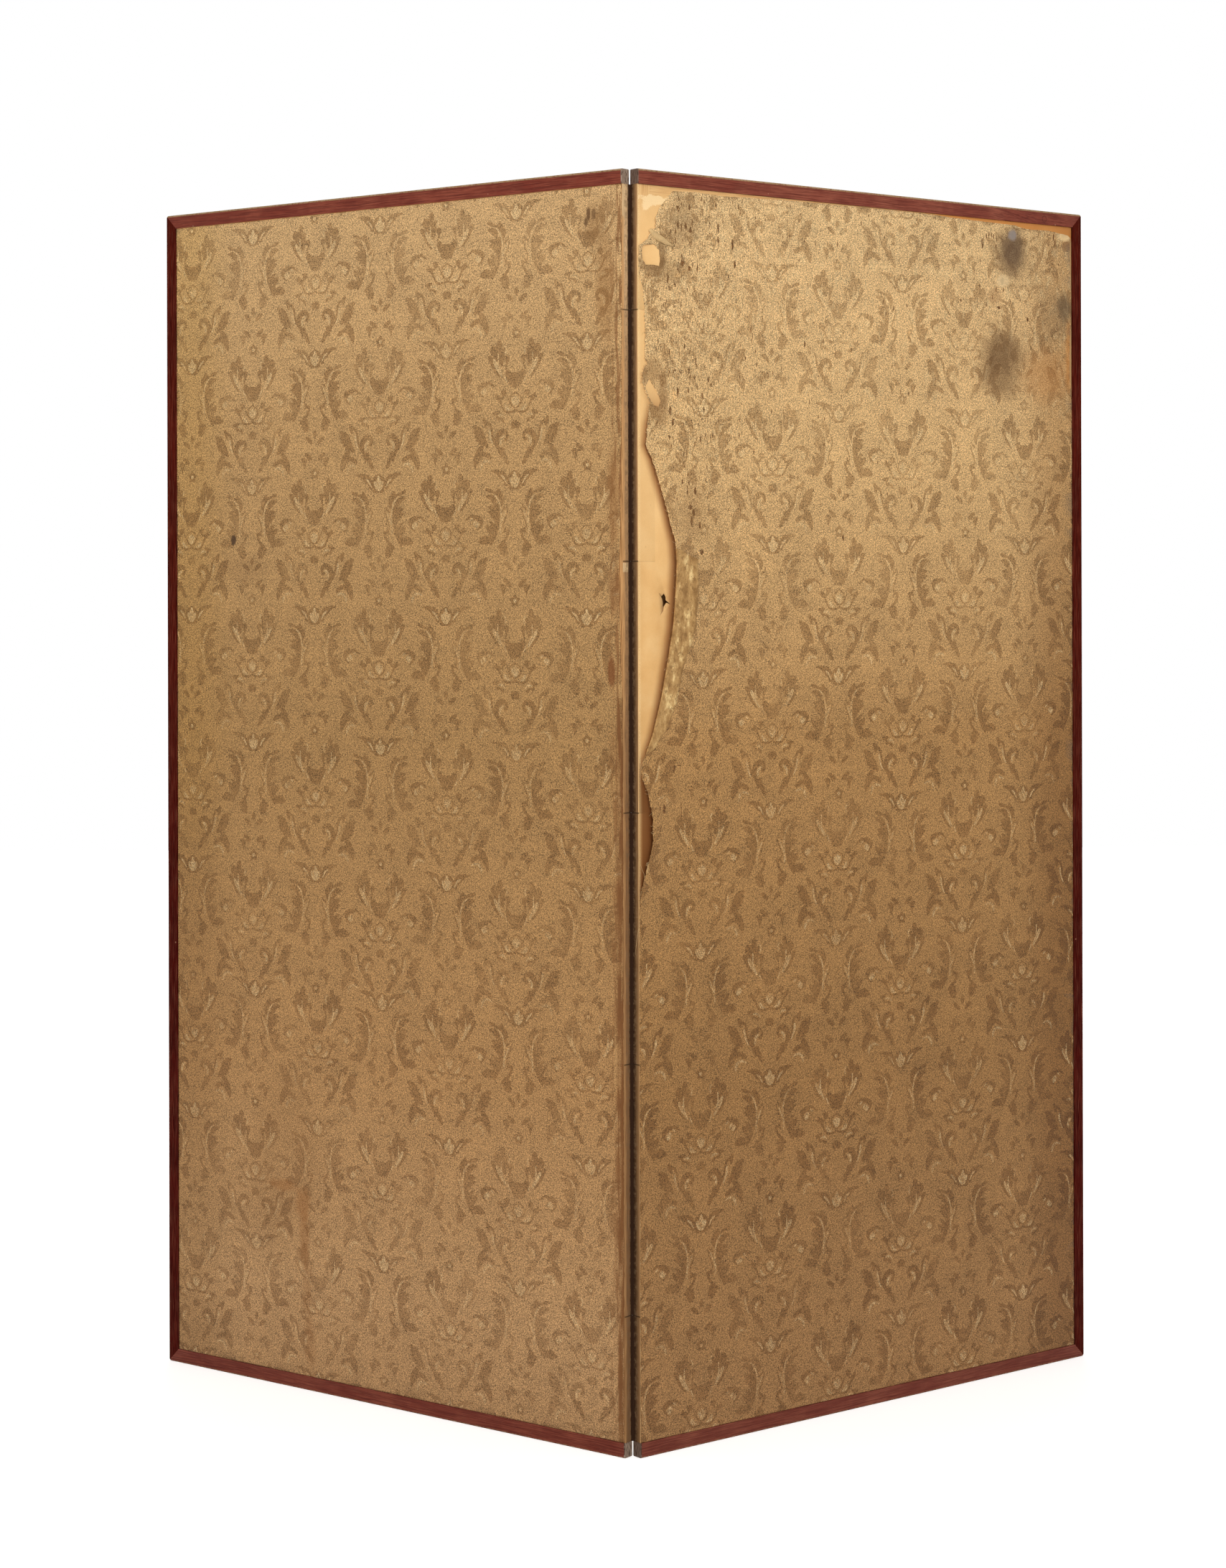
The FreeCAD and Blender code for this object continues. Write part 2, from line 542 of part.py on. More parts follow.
def build_leaf(leaf):
    """All the pieces of one leaf."""
    frame_rail(leaf, high=False)
    frame_rail(leaf, high=True)
    frame_stile(leaf)
    frame_nails(leaf)
    core_stile(leaf, outer=False)
    core_stile(leaf, outer=True)
    core_rail(leaf, high=False)
    core_rail(leaf, high=True)
    lattice_uprights(leaf)
    lattice_crosspieces(leaf)
    back_underpaper(leaf)
    whole_sheet(leaf, "front_underpaper", CORE_SIDE, UNDER_FACE, "dims.underpaper_thickness")
    whole_sheet(leaf, "front_ground", CORE_SIDE, GROUND_FACE, "dims.ground_thickness")
    front_border(leaf)
    back_cloth(leaf, torn=leaf.flipped)
    side_facing(leaf)
    for rank in WRAP_RANKS:
        hinge_wrap(leaf, rank)
    for rank in FLAP_RANKS:
        hinge_flap(leaf, rank)


build_leaf(Leaf("left", low_end="bottom", high_end="top"))
build_leaf(Leaf("right", low_end="top", high_end="bottom"))
doc.recompute()

# Nothing is written unless every feature is sound and every cut removes material
for item in doc.Objects:
    if "Invalid" in item.State or "Error" in item.State:
        raise RuntimeError(f"{item.Label} did not build: {item.State}")
    if item.TypeId == "PartDesign::Pocket" and not item.Shape.Volume < item.BaseFeature.Shape.Volume:
        raise RuntimeError(f"{item.Label} cuts nothing")
os.makedirs("parts", exist_ok=True)
for body in nodes:
    if body.Shape.isNull() or not body.Shape.isValid():
        raise RuntimeError(f"{body.Label} has no sound shape")
for body in nodes:
    body.Shape.exportStep(f"parts/{body.Label}.step")
box = FreeCAD.BoundBox()
for body in nodes:
    box.add(body.Shape.BoundBox)
print(f"{len(nodes)} nodes, box {box}, pivot y {measure(PIVOT_Y):.3f}")
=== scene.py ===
"""The back of a two-leaf folding screen: damask over paper in a lacquered frame, torn along the fold."""
import json
import math
import random

import bpy
import numpy as np
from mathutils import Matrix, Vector, noise
from mathutils.geometry import delaunay_2d_cdt

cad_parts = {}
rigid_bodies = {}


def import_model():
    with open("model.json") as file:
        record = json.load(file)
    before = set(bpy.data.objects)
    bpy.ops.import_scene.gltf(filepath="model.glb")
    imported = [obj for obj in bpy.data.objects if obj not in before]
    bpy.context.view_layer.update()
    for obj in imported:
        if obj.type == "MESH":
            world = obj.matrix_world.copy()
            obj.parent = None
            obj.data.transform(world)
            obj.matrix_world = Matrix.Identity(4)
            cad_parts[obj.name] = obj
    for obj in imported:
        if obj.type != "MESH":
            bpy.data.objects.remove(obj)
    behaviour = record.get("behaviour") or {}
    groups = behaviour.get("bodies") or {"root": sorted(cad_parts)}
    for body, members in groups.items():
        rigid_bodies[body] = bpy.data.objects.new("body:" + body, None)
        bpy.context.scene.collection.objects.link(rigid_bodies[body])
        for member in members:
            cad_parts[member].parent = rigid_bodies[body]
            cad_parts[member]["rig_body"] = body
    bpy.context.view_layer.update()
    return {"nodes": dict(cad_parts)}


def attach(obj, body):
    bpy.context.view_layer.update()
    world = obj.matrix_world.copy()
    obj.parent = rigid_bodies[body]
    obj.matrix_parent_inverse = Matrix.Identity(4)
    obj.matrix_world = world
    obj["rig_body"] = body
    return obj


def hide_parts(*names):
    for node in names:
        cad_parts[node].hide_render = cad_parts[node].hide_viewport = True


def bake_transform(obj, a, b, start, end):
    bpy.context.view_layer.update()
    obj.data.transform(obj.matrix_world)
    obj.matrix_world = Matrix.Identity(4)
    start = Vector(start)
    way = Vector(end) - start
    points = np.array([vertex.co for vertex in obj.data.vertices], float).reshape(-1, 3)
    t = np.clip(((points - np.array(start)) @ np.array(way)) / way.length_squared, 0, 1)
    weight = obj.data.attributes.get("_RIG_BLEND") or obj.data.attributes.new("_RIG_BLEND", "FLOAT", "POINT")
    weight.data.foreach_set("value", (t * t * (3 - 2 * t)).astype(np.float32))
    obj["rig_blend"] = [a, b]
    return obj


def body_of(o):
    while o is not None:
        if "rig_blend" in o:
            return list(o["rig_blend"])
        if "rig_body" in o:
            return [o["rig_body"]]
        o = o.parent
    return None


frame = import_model()

# Sizes from the part, in millimetres. A leaf point is (u, v, z): u from the hinge edge outwards,
# v from the picture side to the back, and z up from the floor.
HALF_FOLD = math.radians(37.9)
COS, SIN = math.cos(HALF_FOLD), math.sin(HALF_FOLD)
PIVOT_Y = -257.319
SIDE_SIGN = {"left": -1, "right": 1}
PANEL_HEIGHT = 1720.0
PANEL_WIDTH = 860.0
CLOTH_LOW, CLOTH_HIGH, CLOTH_OUTER = 20.2, 1699.8, 839.8
CLOTH_BACK = 14.94
CLOTH_FACE = 15.36
CLOTH_THICKNESS = 0.35
HINGE_LEVELS = (20.0, 188.0, 524.0, 860.0, 1196.0, 1532.0, 1700.0)


def place(side, u, v, z):
    """A leaf point in millimetres as a point of the row frame in metres."""
    sign = SIDE_SIGN[side]
    return Vector((sign * (u * COS + v * SIN), u * SIN - v * COS + PIVOT_Y, z)) / 1000


def srgb(red, green, blue):
    """A colour given as 0 to 255 on a screen, as the linear numbers that a shader takes."""
    def linear(c):
        c /= 255
        return c / 12.92 if c <= 0.04045 else ((c + 0.055) / 1.055) ** 2.4
    return (linear(red), linear(green), linear(blue), 1.0)


WHITE = (1.0, 1.0, 1.0, 1.0)


def new_piece(name, points, faces, material):
    mesh = bpy.data.meshes.new(name)
    mesh.from_pydata(points, [], faces)
    mesh.materials.append(material)
    piece = bpy.data.objects.new(name, mesh)
    bpy.context.collection.objects.link(piece)
    return piece


def add_mesh(name, side, points, faces, material):
    """A smooth mesh of leaf points that rides on its leaf."""
    piece = new_piece(name, [place(side, *p) for p in points], faces, material)
    piece.data.polygons.foreach_set("use_smooth", [True] * len(faces))
    piece.data.update()
    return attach(piece, side + "_leaf")


# Materials

class Wire:
    """An output of a shader node. Sums of wires and numbers become math nodes."""

    def __init__(self, nodes, socket):
        self.nodes, self.socket = nodes, socket

    def __add__(self, other):
        return self.nodes.math("ADD", self, other)

    def __sub__(self, other):
        return self.nodes.math("SUBTRACT", self, other)

    def __mul__(self, other):
        return self.nodes.math("MULTIPLY", self, other)

    def __truediv__(self, other):
        return self.nodes.math("DIVIDE", self, other)


class Nodes:
    """The nodes of a material or a world. A colour is three numbers from 0 to 255, as on a screen."""

    def __init__(self, owner):
        owner.use_nodes = True
        self.owner, self.tree = owner, owner.node_tree
        self.tree.nodes.clear()

    def put(self, socket, value):
        if isinstance(value, Wire):
            self.tree.links.new(value.socket, socket)
        else:
            socket.default_value = srgb(*value) if isinstance(value, tuple) and len(value) == 3 else value

    def add(self, kind, values=(), output=0, **settings):
        """A new node with its settings and the values of its inputs. Gives one of its outputs."""
        node = self.tree.nodes.new("ShaderNode" + kind)
        for key, value in settings.items():
            setattr(node, key, value)
        for key, value in dict(values).items():
            self.put(node.inputs[key], value)
        return Wire(self, node.outputs[output]) if len(node.outputs) else None

    def math(self, operation, a, b=0.0, c=0.0):
        return self.add("Math", enumerate((a, b, c)), operation=operation)

    def mix(self, share, a, b, blend="MIX"):
        return self.add("Mix", {0: share, 6: a, 7: b}, 2, data_type="RGBA", blend_type=blend)

    def laid(self, colour, *coats):
        """The colour with further ones laid over it, each given with its share."""
        for share, tint in coats:
            colour = self.mix(share, colour, tint)
        return colour

    def toned(self, colour, *grains):
        """The colour made lighter and darker by noises, each given with how far it swings."""
        tone = self.centred(*grains[0]) + 1
        for grain, reach in grains[1:]:
            tone = tone + self.centred(grain, reach)
        return self.mix(1, colour, self.vector(tone, tone, tone), "MULTIPLY")

    def step(self, value, low, high, bottom=0.0, top=1.0):
        """Goes smoothly from bottom to top while value goes from low to high."""
        return self.add("MapRange", {"Value": value, "From Min": low, "From Max": high, "To Min": bottom,
                                     "To Max": top}, interpolation_type="SMOOTHSTEP")

    def ramp(self, value, stops):
        found = self.add("ValToRGB", {0: value})
        points = found.socket.node.color_ramp.elements
        while len(points) < len(stops):
            points.new(0.5)
        for point, (position, colour) in zip(points, stops):
            point.position = position
            point.color = srgb(*colour) if len(colour) == 3 else colour
        return found

    def vector(self, x, y, z=0.0):
        return self.add("CombineXYZ", enumerate((x, y, z)))

    def noise(self, spot, scale=1.0, detail=2.0, roughness=0.5, distortion=0.0):
        """Noise at a spot of three numbers. Where the third is plain, it picks one noise among many."""
        return self.add("TexNoise", {"Vector": self.vector(*spot), "Scale": scale, "Detail": detail,
                                     "Roughness": roughness, "Distortion": distortion}, "Fac")

    def cells(self, spot, scale):
        return self.add("TexVoronoi", {"Vector": self.vector(*spot), "Scale": scale})

    def streaks(self, across, along, width, length, detail=2.0, seed=0.0):
        """Noise drawn out along one way: width and length in millimetres."""
        return self.noise((across / width, along / length, seed), 1, detail)

    def leaf(self, side):
        """u, v and z of the leaf in millimetres, from the object's own coordinates."""
        sign = SIDE_SIGN[side]
        spot = self.add("TexCoord", output="Object")
        ways = (((sign * COS, SIN, 0), -SIN * PIVOT_Y), ((sign * SIN, -COS, 0), COS * PIVOT_Y),
                ((0, 0, 1), 0))
        return [self.add("VectorMath", {0: spot, 1: Vector(way) * 1000}, "Value",
                         operation="DOT_PRODUCT") + start for way, start in ways]

    def spot(self, u, z, at_u, at_z, reach_u, reach_z, soft, ragged=0.0):
        """1 inside an ellipse about a point and 0 outside, with a soft or ragged edge."""
        du, dz = (u - at_u) / reach_u, (z - at_z) / reach_z
        return self.step(self.math("SQRT", du * du + dz * dz) + ragged, 1 - soft, 1 + soft, 1, 0)

    def line(self, value, at, width):
        """1 on a line across value and 0 away from it."""
        return self.step(self.math("ABSOLUTE", value - at), 0, width, 1, 0)

    def most(self, *values):
        found = values[0]
        for value in values[1:]:
            found = self.math("MAXIMUM", found, value)
        return found

    def centred(self, value, reach):
        """Noise about 0.5 turned into a number from -reach to reach."""
        return (value - 0.5) * (2 * reach)

    def seen(self):
        """1 for the rays that show a thing to the camera, straight, in a gloss or through glass."""
        return self.most(*(self.add("LightPath", output=f"Is {kind} Ray") for kind in (
            "Camera", "Glossy", "Transmission")))


class Shade(Nodes):
    """A material with a Principled shader."""

    def __init__(self, name, roughness=0.5, specular=0.3):
        super().__init__(bpy.data.materials.new(name))
        shader = self.add("BsdfPrincipled", {"Roughness": roughness, "Specular IOR Level": specular})
        self.add("OutputMaterial", {"Surface": shader})
        self.inputs = shader.socket.node.inputs

    def finish(self, colour, height, distance, strength, roughness=None):
        self.put(self.inputs["Base Color"], colour)
        if roughness is not None:
            self.put(self.inputs["Roughness"], roughness)
        bump = self.add("Bump", {"Strength": strength, "Distance": distance, "Height": height})
        self.put(self.inputs["Normal"], bump)
        return self.owner


# What a face of the cloth shows: ground, dark or light figure, worn threads, bare paper
GROUND, DARK, LIGHT, WORN, BARE = range(5)
# The torn edge of the right leaf's cloth, from the top rail down, as (u, z)
TEAR = ((62, 1699.8), (62, 1694), (51, 1683), (38, 1670), (31, 1656), (31, 1643), (23, 1638), (17, 1627),
        (9, 1621), (3, 1618), (2, 1600), (3, 1582), (4, 1577), (9, 1563), (13, 1534), (13, 1496),
        (13, 1467), (18, 1461), (9, 1449), (9, 1436), (14, 1422), (22, 1409), (19, 1392), (16, 1380),
        (12, 1350), (22, 1333), (37, 1291), (48, 1259), (60, 1220), (62, 1195), (61, 1173), (59, 1145),
        (56, 1111), (48, 1068), (37, 1015), (23, 964), (9, 931), (4, 912), (6, 907), (14, 884), (20, 854),
        (20, 823), (15, 802), (9, 781), (3, 757), (1.6, 735))
# The damask's figure repeats over this width, and its axes lie at this u and every half repeat from it
REPEAT_WIDTH = 249.0
FLOWER_AXIS = {"left": 60.5, "right": 113.5}
# The silk's ground colours from the foot up, as (share of the height, colour). They grow lighter towards
# the top, partly by fading and partly as painted light.
GROUND_STOPS_WITH_PAINTED_LIGHT = {
    "left": ((0, (172, 133, 90)), (0.09, (182, 142, 97)), (0.28, (173, 131, 83)), (0.55, (168, 129, 80)),
             (0.81, (187, 148, 98)), (0.97, (201, 163, 113))),
    "right": ((0, (159, 119, 76)), (0.28, (153, 113, 67)), (0.55, (170, 129, 79)), (0.78, (208, 170, 117)),
              (0.92, (214, 177, 125)), (1, (215, 180, 129))),
}
# Stains, drips and small marks on the silk, with brown patches about the right leaf's two windows that are
# partly
# painted shade: u, z, reach in u and z, softness, share, colour
MARKS = {
    "left": (
        (722, 1231, 5.5, 7, 0.25, 0.85, (66, 44, 26)), (700, 1190, 40, 16, 0.6, 0.18, (110, 76, 44)),
        (46, 1648, 18, 30, 0.6, 0.5, (134, 94, 50)), (58, 1664, 3, 8, 0.4, 0.8, (88, 56, 28)),
        (62, 1652, 3, 6, 0.4, 0.7, (88, 56, 28)), (49, 1663, 3, 7, 0.4, 0.6, (92, 60, 32)),
        (620, 330, 75, 120, 0.35, 0.16, (132, 90, 46)), (628, 291, 26, 8, 0.5, 0.42, (150, 94, 42)),
        (586, 268, 13, 24, 0.5, 0.42, (150, 94, 42)), (583, 218, 9, 40, 0.5, 0.42, (142, 90, 42)),
        (578, 140, 8, 60, 0.6, 0.3, (136, 88, 44)), (571, 64, 10, 36, 0.6, 0.3, (140, 92, 48)),
        (690, 250, 60, 60, 0.5, 0.12, (120, 84, 46)), (21, 1050, 6, 22, 0.4, 0.75, (122, 68, 28)),
        (30, 1560, 16, 60, 0.6, 0.45, (146, 100, 50)), (16, 1290, 10, 60, 0.5, 0.5, (140, 92, 46)),
        (14, 1155, 9, 30, 0.5, 0.5, (128, 80, 38))),
    "right": (
        (711, 1652, 32, 37, 0.45, 0.62, (100, 73, 46)), (714, 1657, 20, 25, 0.5, 0.6, (80, 57, 42)),
        (713, 1679, 8.5, 8, 0.35, 0.9, (146, 134, 126)), (690, 1490, 54, 56, 0.5, 0.3, (118, 84, 48)),
        (688, 1508, 30, 27, 0.5, 0.58, (92, 61, 30)), (683, 1472, 33, 31, 0.5, 0.46, (98, 67, 36)),
        (716, 1500, 22, 24, 0.5, 0.3, (108, 76, 44)), (823, 1577, 15, 20, 0.5, 0.62, (86, 70, 50)),
        (810, 1566, 34, 36, 0.6, 0.32, (112, 88, 60)), (784, 1474, 42, 36, 0.6, 0.36, (178, 116, 54)),
        (834, 1505, 7, 46, 0.5, 0.6, (192, 128, 62)), (676, 1587, 13, 12, 0.5, 0.42, (140, 94, 52)),
        (829, 1671, 10, 8, 0.3, 0.65, (138, 94, 52)), (825, 1685, 14, 7, 0.3, 0.85, (232, 198, 146)),
        (694, 1611, 13, 9, 0.3, 0.7, (228, 198, 150)), (80, 1654, 26, 34, 0.6, 0.42, (124, 92, 56)),
        # From here to (44, 1424): brown patches about the two small windows in the tear, partly fraying and
        # partly painted shade where the curled cloth shades their edges.
        (25, 1594, 22, 13, 0.5, 0.7, (122, 86, 46)), (43, 1614, 7, 24, 0.5, 0.6, (116, 82, 44)),
        (52, 1585, 26, 16, 0.6, 0.4, (126, 92, 52)), (22, 1450, 22, 18, 0.5, 0.5, (130, 92, 50)),
        (36, 1398, 16, 20, 0.5, 0.5, (128, 90, 48)), (44, 1424, 8, 22, 0.5, 0.5, (124, 86, 46)),
        (92, 1262, 22, 32, 0.6, 0.3, (128, 92, 52))),
}
# Old fold lines across the silk, darkened as painted shade: z, how far each wanders, width
FOLDS = {"left": ((1494, 6, 2.2), (1174, 6, 2.2), (418, 8, 2)), "right": ((1008, 6, 2.2),)}


def damask(side):
    """The silk: satin ground, dark and light figure, thread grain and stains. The ground grows lighter
    towards the top, partly by fading and partly as painted light, and painted shade darkens it towards the
    outer edge and along the old folds.
    """
    s = Shade(side + "_damask", roughness=0.66, specular=0.2)
    left = side == "left"
    u, v, z = s.leaf(side)
    # Painted light: the ramp makes the ground lighter towards the top, partly by fading.
    ground = s.ramp(z / PANEL_HEIGHT, GROUND_STOPS_WITH_PAINTED_LIGHT[side])
    # Painted shade: the ground darkens towards the leaf's outer edge, on the left leaf more so low down.
    edge_shade_tint = s.mix(s.step(z, 950, 650), (248, 245, 228), (234, 230, 222)) if left else (219, 210, 200)
    ground = s.mix(s.step(u, 700, 815), ground, s.mix(1, ground, edge_shade_tint, "MULTIPLY"))

    warp = s.streaks(u, z, 0.75, 4, 3, 1)
    twill = s.streaks(u + z, u - z, 1.5, 3.2, 2, 9)
    blotch = s.noise((u, z, 3), 0.9, 2)
    cloud = s.noise((u, z, 4), 0.012, 4, 0.6)
    axis = s.math("PINGPONG", u - FLOWER_AXIS[side], REPEAT_WIDTH / 4)
    barbs = s.streaks(axis * 0.87 - z * 0.5, axis * 0.5 + z * 0.87, 1.5, 16, 2, 10)

    kind = s.add("Attribute", output="Fac", attribute_name="figure")
    is_dark, is_light, is_worn, is_bare = (
        s.math("COMPARE", kind, one, 0.4) for one in (DARK, LIGHT, WORN, BARE))
    clear = s.step(s.noise((u, z, 13), 0.014, 3, 0.6), 0.34, 0.62, 0.62, 1.06) + s.centred(twill, 0.4)
    clear = clear * s.step(z, 1300, 950, 1, 0.86 if left else 0.94)
    colour = s.laid(
        ground,
        (is_dark * clear * s.step(barbs, 0.53, 0.66, 1, 0.58), s.mix(1, ground, (208, 200, 191), "MULTIPLY")),
        (is_light * clear, s.mix(s.step(barbs, 0.42, 0.6, 0.05, 0.38), ground, (232, 206, 156))),
        (is_worn, s.mix(blotch, (76, 46, 20), (136, 94, 52))),
        (is_bare, (226, 182, 124)))
    if not left:
        near = s.step(z, 1150, 1400, 0.12, 1) * s.step(u, 340, 80, 0.12, 1) * s.step(z, 900, 1100)
        colour = s.laid(
            colour,
            (s.step(z, 1300, 1600) * s.step(s.streaks(u, z, 7, 22, 3, 11), 0.52, 0.72) * 0.6,
             (218, 188, 138)),
            (near * s.step(s.streaks(u, z, 2.4, 8, 3, 14), 0.54, 0.66) * 0.6, (222, 192, 142)),
            (near * s.step(s.streaks(u, z, 1.8, 8, 3, 12), 0.56, 0.66) * 0.75, (126, 88, 48)))

    colour = s.toned(
        colour, (warp, 0.22), (s.streaks(z, u, 0.8, 3, 3, 2), 0.18), (blotch, 0.3), (twill, 0.38),
        (s.noise((u, z, 7), 0.42, 1), 0.42), (s.noise((u, z, 17), 0.66, 0), 0.9),
        (cloud, 0.16 if left else 0.24), (s.noise((u, z, 5), 0.045, 3, 0.6), 0.12),
        (s.streaks(u, z, 1.5, 7, 2, 8), 0.2), (s.streaks(z, u, 9, 400, 3, 15), 0.1))

    if left:
        edge_rub = s.step(u, 4, 34, 1, 0)
        rub = s.streaks(u, z, 6, 70, 3, 7)
        colour = s.laid(
            colour, (edge_rub * s.step(rub, 0.44, 0.6) * 0.8, (128, 82, 42)),
            (edge_rub * s.step(rub, 0.42, 0.3) * 0.5, (204, 160, 106)),
            (s.step(z, 1060, 960) * s.step(u, 17, 8) * s.step(rub, 0.36, 0.56, 0.45, 0.85), (118, 74, 36)))
    ragged = s.centred(s.noise((u, z, 6), 0.06, 4, 0.7), 0.9) * 0.55
    for at_u, at_z, reach_u, reach_z, soft, share, tint in MARKS[side]:
        colour = s.mix(s.spot(u, z, at_u, at_z, reach_u, reach_z, soft, ragged) * share, colour, tint)
    folds = s.most(*(s.line(z + s.centred(cloud, wander), at, width) for at, wander, width in FOLDS[side]))
    # Painted shade: the silk is darkened along each old fold line, besides its bump.
    colour = s.mix(folds * 0.16, colour, (120, 88, 54))

    s.inputs["Sheen Weight"].default_value = 0.05
    relief = warp * 0.5 + twill * 0.7 + is_dark * -0.12 + is_light * 0.15 + folds * 1.2
    return s.finish(colour, relief, 0.00014, 0.8)


def reverse_silk(name, fresh_and_lit):
    """The wrong side of the silk, yellower and paler, with old paste on it; the last argument lightens it,
    partly to the cloth's own paler colour and partly as painted light.
    """
    s = Shade(name, roughness=0.7, specular=0.2)
    u, v, z = s.leaf("right")
    warp = s.streaks(u, z, 0.8, 6, 3, 1)
    paste = s.noise((u, z * 0.55, 2), 0.075, 4, 0.65)
    colour = s.laid(
        s.ramp(paste, ((0.32, (146, 108, 62)), (0.46, (178, 137, 84)), (0.56, (198, 158, 102)),
                       (0.66, (240, 206, 144)))),
        (s.step(s.noise((u, z, 5), 0.16, 3, 0.7), 0.54, 0.64, 0, 0.6), (134, 98, 56)),
        (fresh_and_lit, (232, 202, 150)))
    return s.finish(s.toned(colour, (warp, 0.2), (s.noise((u, z, 3), 0.8, 2), 0.26)), warp, 0.00016, 0.8)


def paper(side, name):
    """Old cream mulberry paper with fibres, brush marks of paste and brown spots. On the right leaf it also
    has painted shadow beside the tear and in its lower opening, and a strip under the top rail painted
    lighter.
    """
    s = Shade(side + "_" + name, roughness=0.8, specular=0.2)
    u, v, z = s.leaf(side)
    cloud = s.noise((u, z, 1), 0.02, 3, 0.6)
    fibre = s.noise((u, z, 2), 0.9, 3, 0.6)
    brush = s.mix(s.step(u, 20, 26), s.streaks(u, z, 1.3, 70, 2, 4), s.streaks(z, u, 1.1, 60, 2, 5))
    near_top = s.step(z, s.step(u, 14, 26, 1655, 1678), 1696)
    ragged = s.centred(s.noise((u, z, 6), 0.12, 4, 0.7), 1.2)
    paste = s.most(s.spot(u, z, 34, 1680, 26, 6, 0.15, ragged), s.spot(u, z, 18, 1675, 9, 8, 0.15, ragged))
    colour = s.laid(
        s.ramp(cloud, ((0.25, (222, 170, 106)), (0.5, (231, 183, 120)), (0.8, (238, 196, 136)))),
        (s.step(brush, 0.46, 0.56) * near_top * 0.9, (196, 132, 70)), (paste, (254, 224, 174)),
        (s.step(s.cells((u, z, 0), 0.06), 0.04, 0.1, 1, 0) * 0.35, (190, 132, 76)))
    if side == "right":
        lower_tear = [point for point in TEAR if point[1] < 1440][::-1]
        torn = s.ramp(z / PANEL_HEIGHT, [(at / PANEL_HEIGHT, (edge / 100, edge / 100, edge / 100, 1))
                                         for edge, at in lower_tear])
        colour = s.laid(
            colour, (s.step(z, 1100, 1300, 0, 0.4), (254, 212, 150)),
            # Painted light: the orange paper strip under the top rail is painted lighter than its own colour,
            # against the rail's shadow.
            (s.step(z, 1676, 1684) * s.step(u, 500, 580), s.mix(cloud, (232, 152, 78), (252, 178, 100))),
            # Painted shadow on the paper beside the tear, where the lifted cloth edge shades it.
            (s.step(torn * 100 - u, 13, -1) * s.step(z, 1440, 1380) * 0.76, (150, 94, 48)),
            (s.step(u, 2, 7, 1, 0) * s.step(fibre, 0.35, 0.6) * 0.6, (252, 220, 164)),
            # Painted shade on the paper in the lower opening, under the bulging cloth, lighter at its left
            # side.
            (s.spot(u, z, 10, 825, 20, 100, 0.25) * s.step(u, 1, 9, 0.45, 1) * 0.94, (122, 73, 33)))
    else:
        browned = s.mix(s.step(s.streaks(u, z, 1.3, 60, 3, 6), 0.42, 0.6), (214, 160, 104), (138, 92, 48))
        browned = s.mix(s.step(z, 1060, 960, 0, 0.55), browned, (112, 72, 38))
        colour = s.mix(s.step(u, 16, 10, 0, 0.9), colour, browned)
    return s, s.toned(colour, (fibre, 0.1)), fibre, (u, v, z)


def under_paper(side):
    s, colour, fibre = paper(side, "under_paper")[:3]
    return s.finish(colour, fibre, 0.00008, 0.7)


